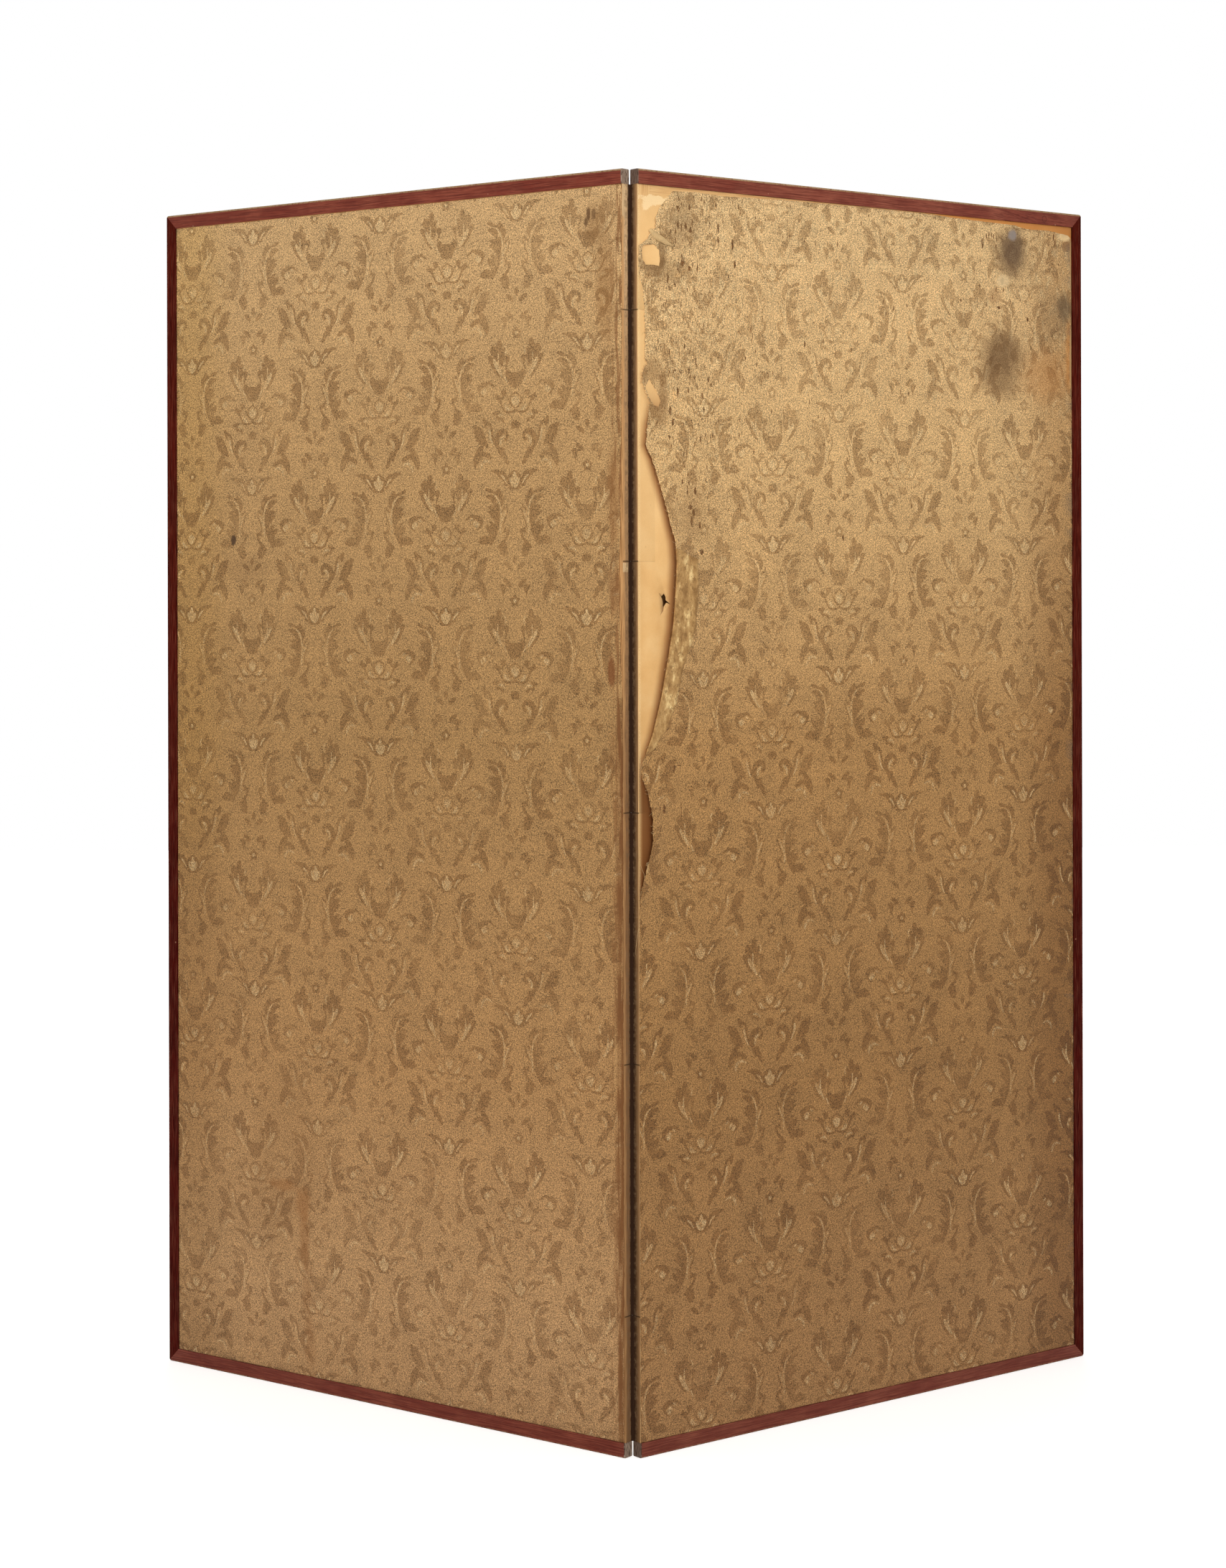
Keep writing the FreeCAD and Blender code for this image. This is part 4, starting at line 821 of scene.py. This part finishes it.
def scattered(outline, pitch, seed, close=()):
    """Points spread over a sheet, so that it can bend: pitch apart, and closer in the boxes of close."""
    chance = random.Random(seed)
    low_u, high_u = min(p[0] for p in outline), max(p[0] for p in outline)
    low_z, high_z = min(p[1] for p in outline), max(p[1] for p in outline)
    found = []
    for left, right, low, high, step in ((low_u, high_u, low_z, high_z, pitch), *close):
        for i in range(1, round((right - left) / step)):
            for j in range(1, round((high - low) / step)):
                found.append((left + (i + chance.uniform(-0.2, 0.2)) * step,
                              low + (j + chance.uniform(-0.2, 0.2)) * step))
    return found


def cut(outline, holes, shapes, loose=()):
    """Cuts a flat sheet into triangles along its outline, its holes and the shapes on it, with loose
    points between. Returns its points, its triangles and each triangle's kind."""
    points, loops, kinds = [], [], []
    for loop, kind in [(outline, "sheet")] + [(hole, "hole") for hole in holes] + shapes:
        loop = loop if area_of(loop) > 0 else loop[::-1]
        loops.append(list(range(len(points), len(points) + len(loop))))
        points += [Vector(p) for p in loop]
        kinds.append(kind)
    points += [Vector(p) for p in loose]
    found, edges, faces = delaunay_2d_cdt(points, [], loops, 0, 1e-3, True)[:3]
    spots = np.array([tuple(p) for p in found])
    middles = Spots(spots[np.array([tuple(face) for face in faces])].mean(1))
    order = np.full(len(faces), -1)
    for loop, kind in zip(loops, kinds):
        within = middles.inside([tuple(points[i]) for i in loop])
        if kind == "sheet":
            order[within] = GROUND
        elif kind == "hole":
            order[within] = -1
        else:
            within = within[order[within] >= 0]
            order[within] = np.maximum(order[within], kind)
    kept = [tuple(faces[i]) for i in np.flatnonzero(order >= 0)]
    kept_kinds = [int(k) for k in order[order >= 0]]
    used = sorted({i for face in kept for i in face})
    index = {old: new for new, old in enumerate(used)}
    return [tuple(found[i]) for i in used], [tuple(index[i] for i in face) for face in kept], kept_kinds


def rim_of(faces):
    """The directed edges that only one face uses."""
    edges = {(a, b) for face in faces for a, b in zip(face, face[1:] + face[:1])}
    return [(a, b) for a, b in edges if (b, a) not in edges]


def grid(rows, steps):
    """The four-cornered faces between rows of points, with steps points in a row."""
    return [(a, a + steps, a + steps + 1, a + 1) for row in range(rows - 1)
            for a in range(row * steps, row * steps + steps - 1)]


def turned_over(face):
    return face[:1] + face[:0:-1]


def shell(points, faces, below):
    """Closes faces into a thin shell, with the points of below under their own and a rim between."""
    count = len(points)
    under = [tuple(i + count for i in turned_over(face)) for face in faces]
    return points + below, faces + under + [(b, a, a + count, b + count) for a, b in rim_of(faces)]


def sheet_mesh(name, side, pattern, lift, thickness, material, back=CLOTH_BACK, loose=()):
    """A closed thin sheet: the cut face towards the back of the screen, a rim and a plain underside."""
    flat, faces, kinds = pattern
    rim = rim_of(faces)
    loops = loops_of(rim)
    corners = [i for loop in loops for i in loop]
    starts = np.cumsum([0] + [len(loop) for loop in loops])
    sides = [(first + k, first + (k + 1) % len(loop))
             for first, loop in zip(starts, loops) for k in range(len(loop))]
    below, edges, tiles, sources = delaunay_2d_cdt(
        [Vector(flat[i]) for i in corners] + [Vector(p) for p in loose],
        [(int(a), int(b)) for a, b in sides], [], 0, 1e-4, True)[:4]
    spots = np.array([tuple(p) for p in below])
    turns = np.zeros(len(tiles), int)
    middles = Spots(spots[np.array([tuple(tile) for tile in tiles])].mean(1))
    for loop in loops:
        turns[middles.inside([flat[i] for i in loop])] += 1
    tiles = [tiles[i] for i in np.flatnonzero(turns % 2)]

    points = [(u, back + thickness + lift(u, z), z) for u, z in flat]
    under = {}
    for i in sorted({i for tile in tiles for i in tile}):
        owners = [k for k in sources[i] if k < len(corners)]
        under[corners[owners[0]] if owners else -1 - i] = len(points)
        u, z = below[i]
        points.append((u, back + lift(u, z), z))
    names = {i: corners[sources[i][0]] if sources[i] and sources[i][0] < len(corners) else -1 - i
             for i in range(len(below))}
    # Which way round a face goes depends on the leaf, because one is the mirror of the other.
    turn = (lambda face: face[::-1]) if side == "left" else tuple
    all_faces = [turn(face) for face in faces]
    all_faces += [turn((b, a, under[a], under[b])) for a, b in rim]
    all_faces += [turn(tuple(under[names[i]] for i in tile)[::-1]) for tile in tiles]
    all_kinds = list(kinds) + [GROUND] * (len(all_faces) - len(faces))
    piece = add_mesh(name, side, points, all_faces, material)
    mesh = piece.data
    kind = mesh.attributes.new("figure", "FLOAT", "FACE")
    kind.data.foreach_set("value", np.array(all_kinds, np.float32))
    map_flat(mesh, [(u, z) for u, v, z in points], len(faces), len(rim))
    return piece


def loops_of(rim):
    """Closed loops of points from directed edges."""
    after = {}
    for a, b in rim:
        after.setdefault(a, []).append(b)
    loops = []
    while after:
        start = next(iter(after))
        loop, here = [], start
        while here in after:
            loop.append(here)
            step = after[here].pop()
            if not after[here]:
                del after[here]
            here = step
            if here == start:
                break
        if len(loop) > 2:
            loops.append(loop)
    return loops


def map_flat(mesh, flat, cut_faces, rim_faces):
    """A flat map: the cut face takes most of it, and the rim and the underside each a strip beside it."""
    layer = mesh.uv_layers.new(name="OFBake")
    corner_point = np.zeros(len(mesh.loops), np.int32)
    mesh.loops.foreach_get("vertex_index", corner_point)
    corner_face = np.repeat(np.arange(len(mesh.polygons)), [p.loop_total for p in mesh.polygons])
    spots = np.array(flat)[corner_point]
    across = spots[:, 0] / PANEL_WIDTH
    up = spots[:, 1] / PANEL_HEIGHT
    is_rim = (corner_face >= cut_faces) & (corner_face < cut_faces + rim_faces)
    is_under = corner_face >= cut_faces + rim_faces
    across = np.where(is_rim, 0.97 + 0.01 * across,
                      np.where(is_under, 0.985 + 0.012 * across, 0.002 + 0.955 * across))
    layer.data.foreach_set("uv", np.stack([across, 0.002 + 0.996 * up], 1).astype(np.float32).ravel())


def frayed(points, pitch, reach, chance):
    """A line of (u, z) cut into short steps that wander sideways, as a torn edge does."""
    found = []
    for a, b in zip(points, points[1:]):
        count = max(1, round(math.dist(a, b) / pitch))
        for i in range(count):
            t = i / count
            along = (a[0] + (b[0] - a[0]) * t, a[1] + (b[1] - a[1]) * t)
            found.append((along[0] + chance.uniform(-reach, reach),
                          along[1] + chance.uniform(-reach, reach) * 0.4))
    found.append(points[-1])
    return found


def relief(u, z, seed):
    """How far the pasted cloth stands off the paper, from its slight bubbles and puckers."""
    wide = noise.noise(Vector((u / 120, z / 120, seed)))
    small = noise.noise(Vector((u / 34, z / 46, seed + 5)))
    return 0.20 + 0.16 * wide + 0.08 * small


RIGHT_WINDOWS = (
    ((10, 1618), (29, 1621), (38, 1614), (40, 1601), (39, 1592), (26, 1593), (14, 1592), (8, 1600),
     (7, 1610)),
    ((20, 1441), (31, 1427), (41, 1411), (37, 1403), (28, 1405), (22, 1413), (14, 1428)),
)
# The main stretches where the cloth stands off the paper: low and high end, how far, and how far in
LIFTS = ((934.0, 1392.0, 7.0, 28.0), (735.0, 912.0, 6.5, 24.0), (1560.0, 1690.0, 1.2, 20.0))


def u_at(line, z, otherwise):
    """u of a line of (u, z) at a height."""
    for (u0, z0), (u1, z1) in zip(line, line[1:]):
        if min(z0, z1) <= z <= max(z0, z1) and z0 != z1:
            return u0 + (u1 - u0) * (z - z0) / (z1 - z0)
    return otherwise


def edge_at(z):
    """u of the torn edge at a height."""
    return u_at(TEAR, z, 1.6)


def right_lift(u, z):
    height = relief(u, z, 3.0)
    for low, high, reach, inward in LIFTS:
        if low < z < high:
            middle = math.sin(math.pi * (z - low) / (high - low)) ** 0.7
            height += reach * middle * math.exp(-((max(0.0, u - edge_at(z)) / inward) ** 1.5))
    return height


# Frays and bare spots seen on the right leaf: u, z, width and length, and BARE where the paper shows
FLECKS = (
    (71, 1672, 8, 10), (91, 1674, 5, 10), (71, 1649, 4, 14), (67, 1641, 3, 9), (77, 1647, 3, 15),
    (85, 1648, 5, 11), (93, 1644, 5, 11), (96, 1654, 3, 9), (79, 1602, 8, 18), (71, 1593, 7, 12),
    (71, 1581, 12, 7, BARE), (91, 1592, 5, 10), (53, 1576, 4, 15), (65, 1571, 4, 11), (105, 1593, 3, 11),
    (142, 1651, 4, 18), (142, 1634, 3, 13), (131, 1626, 13, 1.6), (116, 1624, 10, 1.4), (127, 1654, 3, 9),
    (32, 1481, 3, 9), (82, 1486, 3, 9), (65, 1453, 6, 4), (74, 1452, 6, 4), (90, 1454, 3, 13),
    (99, 1446, 2, 9), (124, 1443, 4, 9), (102, 1466, 2.5, 15), (104, 1433, 2, 11), (60, 1465, 2, 7),
    (57, 1399, 6, 13), (61, 1384, 4, 13), (55, 1363, 5, 6), (86, 1290, 3, 20), (100, 1291, 5, 12),
    (91, 1269, 9, 8), (97, 1262, 5, 12), (93, 1250, 4, 18), (108, 1245, 4, 11), (111, 1209, 8, 8),
    (69, 1199, 5, 12), (110, 1362, 2.5, 14), (118, 1367, 2, 7), (77, 1303, 4, 8), (89, 1303, 3, 9),
    (64, 1418, 9, 16, BARE), (70, 1424, 4, 18), (89, 1426, 3, 9), (113, 1421, 3, 10), (116, 1401, 3, 11),
    (62, 917, 4, 11), (71, 921, 9, 2), (43, 863, 6, 15), (35, 865, 2.4, 9), (74, 857, 1.6, 40),
    (34, 836, 2, 7), (83, 971, 5, 3), (49, 908, 3, 3), (659, 1674, 3, 9), (664, 1676, 3, 11),
    (669, 1677, 2.4, 9), (674, 1675, 3, 9), (680, 1673, 2.4, 9), (651, 1664, 6, 15), (781, 1687, 2.4, 11),
    (801, 1682, 4, 12), (804, 1674, 4, 11), (692, 1610, 8, 14), (679, 1598, 2.4, 10), (694, 1598, 2.4, 10),
    (606, 1577, 3, 6), (645, 1601, 2, 7), (773, 1581, 3, 9), (769, 1580, 2, 6, BARE), (684, 1571, 9, 5),
    (659, 1575, 4, 8), (679, 1661, 2, 9), (758, 1651, 2, 7), (704, 1600, 2, 8), (745, 1556, 5, 8),
    (300, 1500, 4, 12), (372, 1230, 4, 12), (168, 1630, 5, 18), (172, 1604, 4, 14),
)


def wear_marks(chance):
    """Small frays and bare spots, thickest near the top of the right leaf and beside the tear."""
    marks = []

    def fleck(u, z, width, length, kind, count=7):
        loop = []
        for i in range(2 * count):
            turn = math.pi * i / count
            spread = chance.uniform(0.55, 1.15)
            loop.append((u + width / 2 * math.cos(turn) * spread, z + length / 2 * math.sin(turn) * spread))
        marks.append((loop, kind))

    for u, z, width, length, *bare in FLECKS:
        fleck(u, z, width, length, BARE if bare else WORN)
    for i in range(330):
        u = 30 + 480 * chance.random() ** 1.7
        z = 1690 - 430 * chance.random() ** 1.25
        if u < edge_at(z) + 8:
            continue
        kind = BARE if chance.random() < 0.12 else WORN
        fleck(u, z, chance.uniform(0.7, 2.4), chance.uniform(3.0, 11.0), kind, 4)
    for i in range(50):
        u = chance.uniform(20, 260)
        z = chance.uniform(700, 1250)
        if u > edge_at(z) + 10:
            fleck(u, z, chance.uniform(0.8, 1.8), chance.uniform(1.5, 5.0), WORN, 4)
    for i in range(60):
        fleck(chance.uniform(560, 832), chance.uniform(1530, 1694), chance.uniform(0.8, 2.2),
              chance.uniform(2.0, 9.0), BARE if chance.random() < 0.3 else WORN, 4)
    return marks


def right_cloth():
    chance = random.Random(11)
    torn = frayed(TEAR, 2.6, 0.9, chance)
    top_edge = frayed(((837.5, 1683), (832, 1687), (815, 1689), (803, 1690), (785, 1691.5), (768, 1691),
                       (751, 1690.5), (734, 1691.5), (717, 1694.5), (684, 1695), (651, 1695.5),
                       (618, 1696), (585, 1696.5), (553, 1698), (400, 1698.4), (250, 1697), (150, 1694),
                       (100, 1696), (62, 1694)), 4.0, 0.8, chance)
    outer_edge = frayed(((839.6, CLOTH_LOW), (839.6, 1440), (836.0, 1470), (835.8, 1530), (838.6, 1560),
                         (838.0, 1610), (836.4, 1630), (836.0, 1672), (837.5, 1683)), 7.0, 0.35, chance)
    foot = frayed(((1.6, 735), (1.5, 400), (1.8, 120), (2.2, CLOTH_LOW)), 6.0, 0.45, chance)
    outline = torn[2:] + foot[1:] + outer_edge[:-1] + top_edge[:-1]
    windows = [frayed(list(loop) + [loop[0]], 2.6, 0.8, chance)[:-1] for loop in RIGHT_WINDOWS]
    shapes = figure_shapes("right") + wear_marks(chance)
    loose = scattered(outline, 24.0, 5, ((0.0, 140.0, 700.0, 1700.0, 7.0),))
    piece = sheet_mesh("right_damask", "right", cut(outline, windows, shapes, loose), right_lift,
                       CLOTH_THICKNESS, SKINS["right"]["damask"], loose=loose)
    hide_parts("right_back_cloth")
    return piece


def left_cloth():
    chance = random.Random(12)
    fold_edge = frayed(((2.8, 1699), (2.4, 1660), (2.2, 1628), (2.4, 1555), (2.2, 1481), (2.8, 1400),
                        (3.6, 1367), (5.0, 1283), (6.0, 1230), (7.5, 1200), (7.5, 1156), (6.0, 1100),
                        (4.5, 1063), (3.2, 1030), (2.6, 999), (2.4, 936), (2.4, 700), (2.6, 500),
                        (2.4, 300), (2.6, 120), (2.6, CLOTH_LOW)), 3.6, 0.6, chance)
    outer_edge = [(CLOTH_OUTER, CLOTH_LOW), (CLOTH_OUTER, 1699)]
    outline = fold_edge + outer_edge
    shapes = figure_shapes("left")
    for i in range(70):
        u, z = chance.uniform(8, 800), chance.uniform(60, 1690)
        loop = [(u + chance.uniform(0.4, 1.1) * math.cos(t), z + chance.uniform(0.5, 2.2) * math.sin(t))
                for t in (0.0, 1.2, 2.4, 3.6, 4.9)]
        shapes.append((loop, WORN))
    loose = scattered(outline, 24.0, 6)
    piece = sheet_mesh("left_damask", "left", cut(outline, [], shapes, loose), lambda u, z: relief(u, z, 9.0),
                       CLOTH_THICKNESS, SKINS["left"]["damask"], loose=loose)
    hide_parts("left_back_cloth")
    return piece


# The outer torn edge of the strip that is turned back along the main tear, as (u, z)
TURNED = ((66, 1214), (79, 1207), (91, 1203), (104, 1199), (106, 1171), (104, 1141), (99, 1102), (87, 1073),
          (77, 1054), (73, 1035), (67, 1014), (53, 977), (30, 948), (13, 936))


def turned_strip():
    """The cloth folded over on itself beside the tear, wrong side out."""
    chance = random.Random(21)
    rows = []
    steps, around, radius = 13, 4, 1.1
    z = 1213.0
    while z > 937.0:
        start = edge_at(z)
        end = u_at(TURNED, z, 0.0) + chance.uniform(-1.6, 1.6)
        foot = right_lift(start, z) + CLOTH_BACK + CLOTH_THICKNESS
        row = []
        for i in range(steps):
            if i <= around:
                turn = math.pi * i / around
                row.append((start - radius * math.sin(turn) * 0.9,
                            foot - 0.2 + radius * (1 - math.cos(turn)), z))
            else:
                share = (i - around) / (steps - 1 - around)
                u = start + (end - start) * share
                lift = CLOTH_BACK + CLOTH_THICKNESS + right_lift(u, z)
                pucker = max(0.0, noise.noise(Vector((u / 14, z / 22, 7.0))))
                gap = 2.0 * (1 - share) ** 2 + 0.35 + 0.5 * pucker
                row.append((u, lift + gap, z + 1.2 * noise.noise(Vector((u / 9, z / 9, 2.0)))))
        rows.append(row)
        z -= 2.4
    points = [p for row in rows for p in row]
    below = [(u + (0.25 if k % steps <= 2 else 0.0), v - 0.22, z) for k, (u, v, z) in enumerate(points)]
    return add_mesh("right_damask_turned", "right", *shell(points, grid(len(rows), steps), below), REVERSE)


def paper_with_hole():
    """The right leaf's under-paper, with the small star-shaped hole that shows in the tear."""
    inner, side_edge = 30.1, 1.7
    outline = [(CLOTH_OUTER, CLOTH_LOW), (CLOTH_OUTER, CLOTH_HIGH), (side_edge, CLOTH_HIGH),
               (side_edge, 1532.2), (inner, 1532.2), (inner, 1195.8), (side_edge, 1195.8),
               (side_edge, 860.2), (inner, 860.2), (inner, 523.8), (side_edge, 523.8),
               (side_edge, 188.2), (inner, 188.2), (inner, CLOTH_LOW)]
    star = [(35, 1156), (41, 1149), (45.5, 1153), (48.5, 1148), (48.5, 1144), (57.5, 1138), (49.5, 1140.5),
            (46, 1136), (44, 1129), (38.5, 1122.5), (42, 1131), (43.5, 1140), (42, 1146)]
    piece = sheet_mesh("right_underpaper", "right", cut(outline, [star], []), lambda u, z: 0.0, 0.45,
                       SKINS["right"]["under"], back=14.45)
    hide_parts("right_back_underpaper")
    return piece


def tube(points, radius, sides=5):
    """Points and faces of a thin tube along a line of leaf points."""
    rings, faces = [], []
    line = [Vector(p) for p in points]
    for i, here in enumerate(line):
        along = (line[min(i + 1, len(line) - 1)] - line[max(i - 1, 0)]).normalized()
        across = along.orthogonal().normalized()
        other = along.cross(across)
        taper = 1.0 if i < len(line) - 1 else 0.4
        for k in range(sides):
            turn = 2 * math.pi * k / sides
            rings.append(tuple(here + radius * taper * (math.cos(turn) * across + math.sin(turn) * other)))
    for i in range(len(line) - 1):
        for k in range(sides):
            a, b = i * sides + k, i * sides + (k + 1) % sides
            faces.append((a, b, b + sides, a + sides))
    faces.append(tuple(range(sides))[::-1])
    faces.append(tuple(range((len(line) - 1) * sides, len(line) * sides)))
    return rings, faces


def loose_threads():
    """Single threads that have come away along the tear and hang or curl from its edge."""
    chance = random.Random(31)
    lines = [
        [(3, 15.9, 792), (4, 17.5, 786), (6.5, 19, 779), (7.5, 19.5, 770), (5.5, 19, 762), (2.5, 18.5, 756),
         (0.5, 18, 748)],
        [(2, 15.8, 716), (-1, 17, 708), (-4, 18, 697), (-6.5, 18, 684), (-7.5, 17.5, 672)],
        [(8, 16.5, 930), (5, 17.5, 926), (2.5, 18, 918), (2.0, 18, 909)],
    ]
    for i in range(130):
        z = chance.uniform(700, 1660) if i < 70 else chance.uniform(1392, 1470)
        u = edge_at(z)
        length = chance.uniform(2.0, 7.0)
        foot = CLOTH_BACK + right_lift(u, z) + 0.2
        lean = chance.uniform(-0.8, 0.8)
        lines.append([(u + 1.0, foot, z), (u - length * 0.4, foot + 0.4, z + lean * length * 0.3),
                      (u - length * 0.9, foot + chance.uniform(-0.2, 1.0), z + lean * length)])
    points, faces = [], []
    for line in lines:
        ring, sides = tube(line, 0.16, 4)
        faces += [tuple(i + len(points) for i in face[::-1]) for face in sides]
        points += ring
    return add_mesh("right_threads", "right", points, faces, RAG)


def tatter():
    """The small curled rag of cloth at the top of the tear."""
    spine = ((21, 1640, 3), (25, 1637, 7), (30, 1633, 9), (36, 1630, 9), (42, 1628, 8), (48, 1625, 7),
             (54, 1622.5, 4), (59, 1620.5, 1.5))
    steps = 9
    points = []
    for i, (u, z, width) in enumerate(spine):
        for j in range(steps):
            t = j / (steps - 1) - 0.5
            curl = 3.4 * math.cos(math.pi * t * 0.9) * math.sin(math.pi * (i + 1) / (len(spine) + 1))
            points.append((u + 3.0 * t, CLOTH_FACE + 0.8 + curl, z + width * t))
    below = [(u, v - 0.3, z) for u, v, z in points]
    return add_mesh("right_tatter", "right", *shell(points, grid(len(spine), steps), below), RAG)


def hinge_webs():
    """The thin paper that joins each strip's two halves over the fold, so that it turns as one strip."""
    count, drop, foot, head = 9, 0.00012, 56, 1664
    start, end = place("left", 1.15, 0.9, 900), place("right", 1.15, 0.9, 900)
    for number, (low, high) in enumerate(zip(HINGE_LEVELS[::-1][1:], HINGE_LEVELS[::-1][:-1]), start=1):
        low, high = low + 0.05, high - 0.05
        points = []
        levels = sorted([low + (high - low) * k / 12 for k in range(13)]
                        + [z for z in (foot, head) if low < z < high])
        for z in levels:
            depth = 0.55 if foot < z < head else 3.2
            for k in range(count):
                t = k / (count - 1) * 2 - 1
                reach = abs(t)
                spot = place("left" if t < 0 else "right", 0.25 + 0.95 * reach, 0.35 + depth * reach ** 2, z)
                points.append(Vector((spot.x if t else 0.0, spot.y, spot.z)))
        faces = [turned_over(face) for face in grid(len(levels), count)]
        points, faces = shell(points, faces, [p + Vector((0, drop, 0)) for p in points])
        piece = new_piece(f"hinge_web_{number}", points, faces, SKINS["left"]["hinge"])
        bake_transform(piece, "left_leaf", "right_leaf", start=tuple(start), end=tuple(end))


def stage_and_light():
    """A pale floor that keeps the shadow, a white surround for the camera, and soft lamps."""
    world = bpy.data.worlds.new("studio")
    bpy.context.scene.world = world
    sky = Nodes(world)
    ambient = sky.add("Background", {"Color": (1.0, 0.985, 0.96, 1.0), "Strength": 0.52})
    white = sky.add("Background", {"Color": WHITE, "Strength": 1.0})
    sky.add("OutputWorld", {"Surface": sky.add("MixShader", {0: sky.seen(), 1: ambient, 2: white})})

    s = Nodes(bpy.data.materials.new("floor"))
    far = s.add("VectorMath", {0: s.add("TexCoord", output="Object")}, "Value", operation="LENGTH")
    glow = s.add("Emission", {"Color": WHITE, "Strength": s.seen() * s.step(far, 0.9, 3.0, 0.5, 1.0)})
    diffuse = s.add("BsdfDiffuse", {"Color": (0.86, 0.86, 0.86, 1.0)})
    s.add("OutputMaterial", {"Surface": s.add("AddShader", {0: diffuse, 1: glow})})
    half = 9.0
    corners = [(-half, -half, 0), (half, -half, 0), (half, half, 0), (-half, half, 0)]
    floor = new_piece("floor", corners, [(0, 1, 2, 3)], s.owner)

    for name, spot, target, size, power, colour in (
            ("key", (1.3, -3.4, 3.1), (0.1, -0.2, 1.15), (2.2, 1.6), 62.0, (1.0, 0.97, 0.93)),
            ("fill", (-2.4, -3.2, 2.2), (-0.2, -0.2, 0.9), (2.4, 2.2), 30.0, (1.0, 0.98, 0.95)),
            ("back", (0.0, 3.2, 2.6), (0.0, 0.2, 0.9), (2.6, 2.0), 46.0, (1.0, 0.98, 0.95))):
        light = bpy.data.lights.new(name, "AREA")
        light.shape = "RECTANGLE"
        light.size, light.size_y = size
        light.energy = power
        light.color = colour
        holder = bpy.data.objects.new(name, light)
        holder.location = spot
        holder.rotation_euler = (Vector(target) - Vector(spot)).to_track_quat("-Z", "Y").to_euler()
        bpy.context.collection.objects.link(holder)


def camera():
    """The photograph's view: eye 1.17 m up and 4.1 m from the fold, level, with the frame shifted down."""
    lens = bpy.data.cameras.new("camera")
    lens.sensor_width = 36.0
    lens.sensor_fit = "AUTO"
    lens.lens = 70.19
    lens.shift_y = -0.1295
    lens.clip_end = 100.0
    holder = bpy.data.objects.new("camera", lens)
    holder.location = (-0.0623, -4.3445, 1.1699)
    holder.rotation_euler = (math.radians(90.0), 0.0025, -0.0095)
    bpy.context.collection.objects.link(holder)
    bpy.context.scene.camera = holder


dress_nodes()
left = left_cloth()
right = right_cloth()
paper_with_hole()
turned = turned_strip()
threads = loose_threads()
rag = tatter()
hinge_webs()

stage_and_light()
camera()
bpy.context.scene.view_settings.view_transform = "Standard"
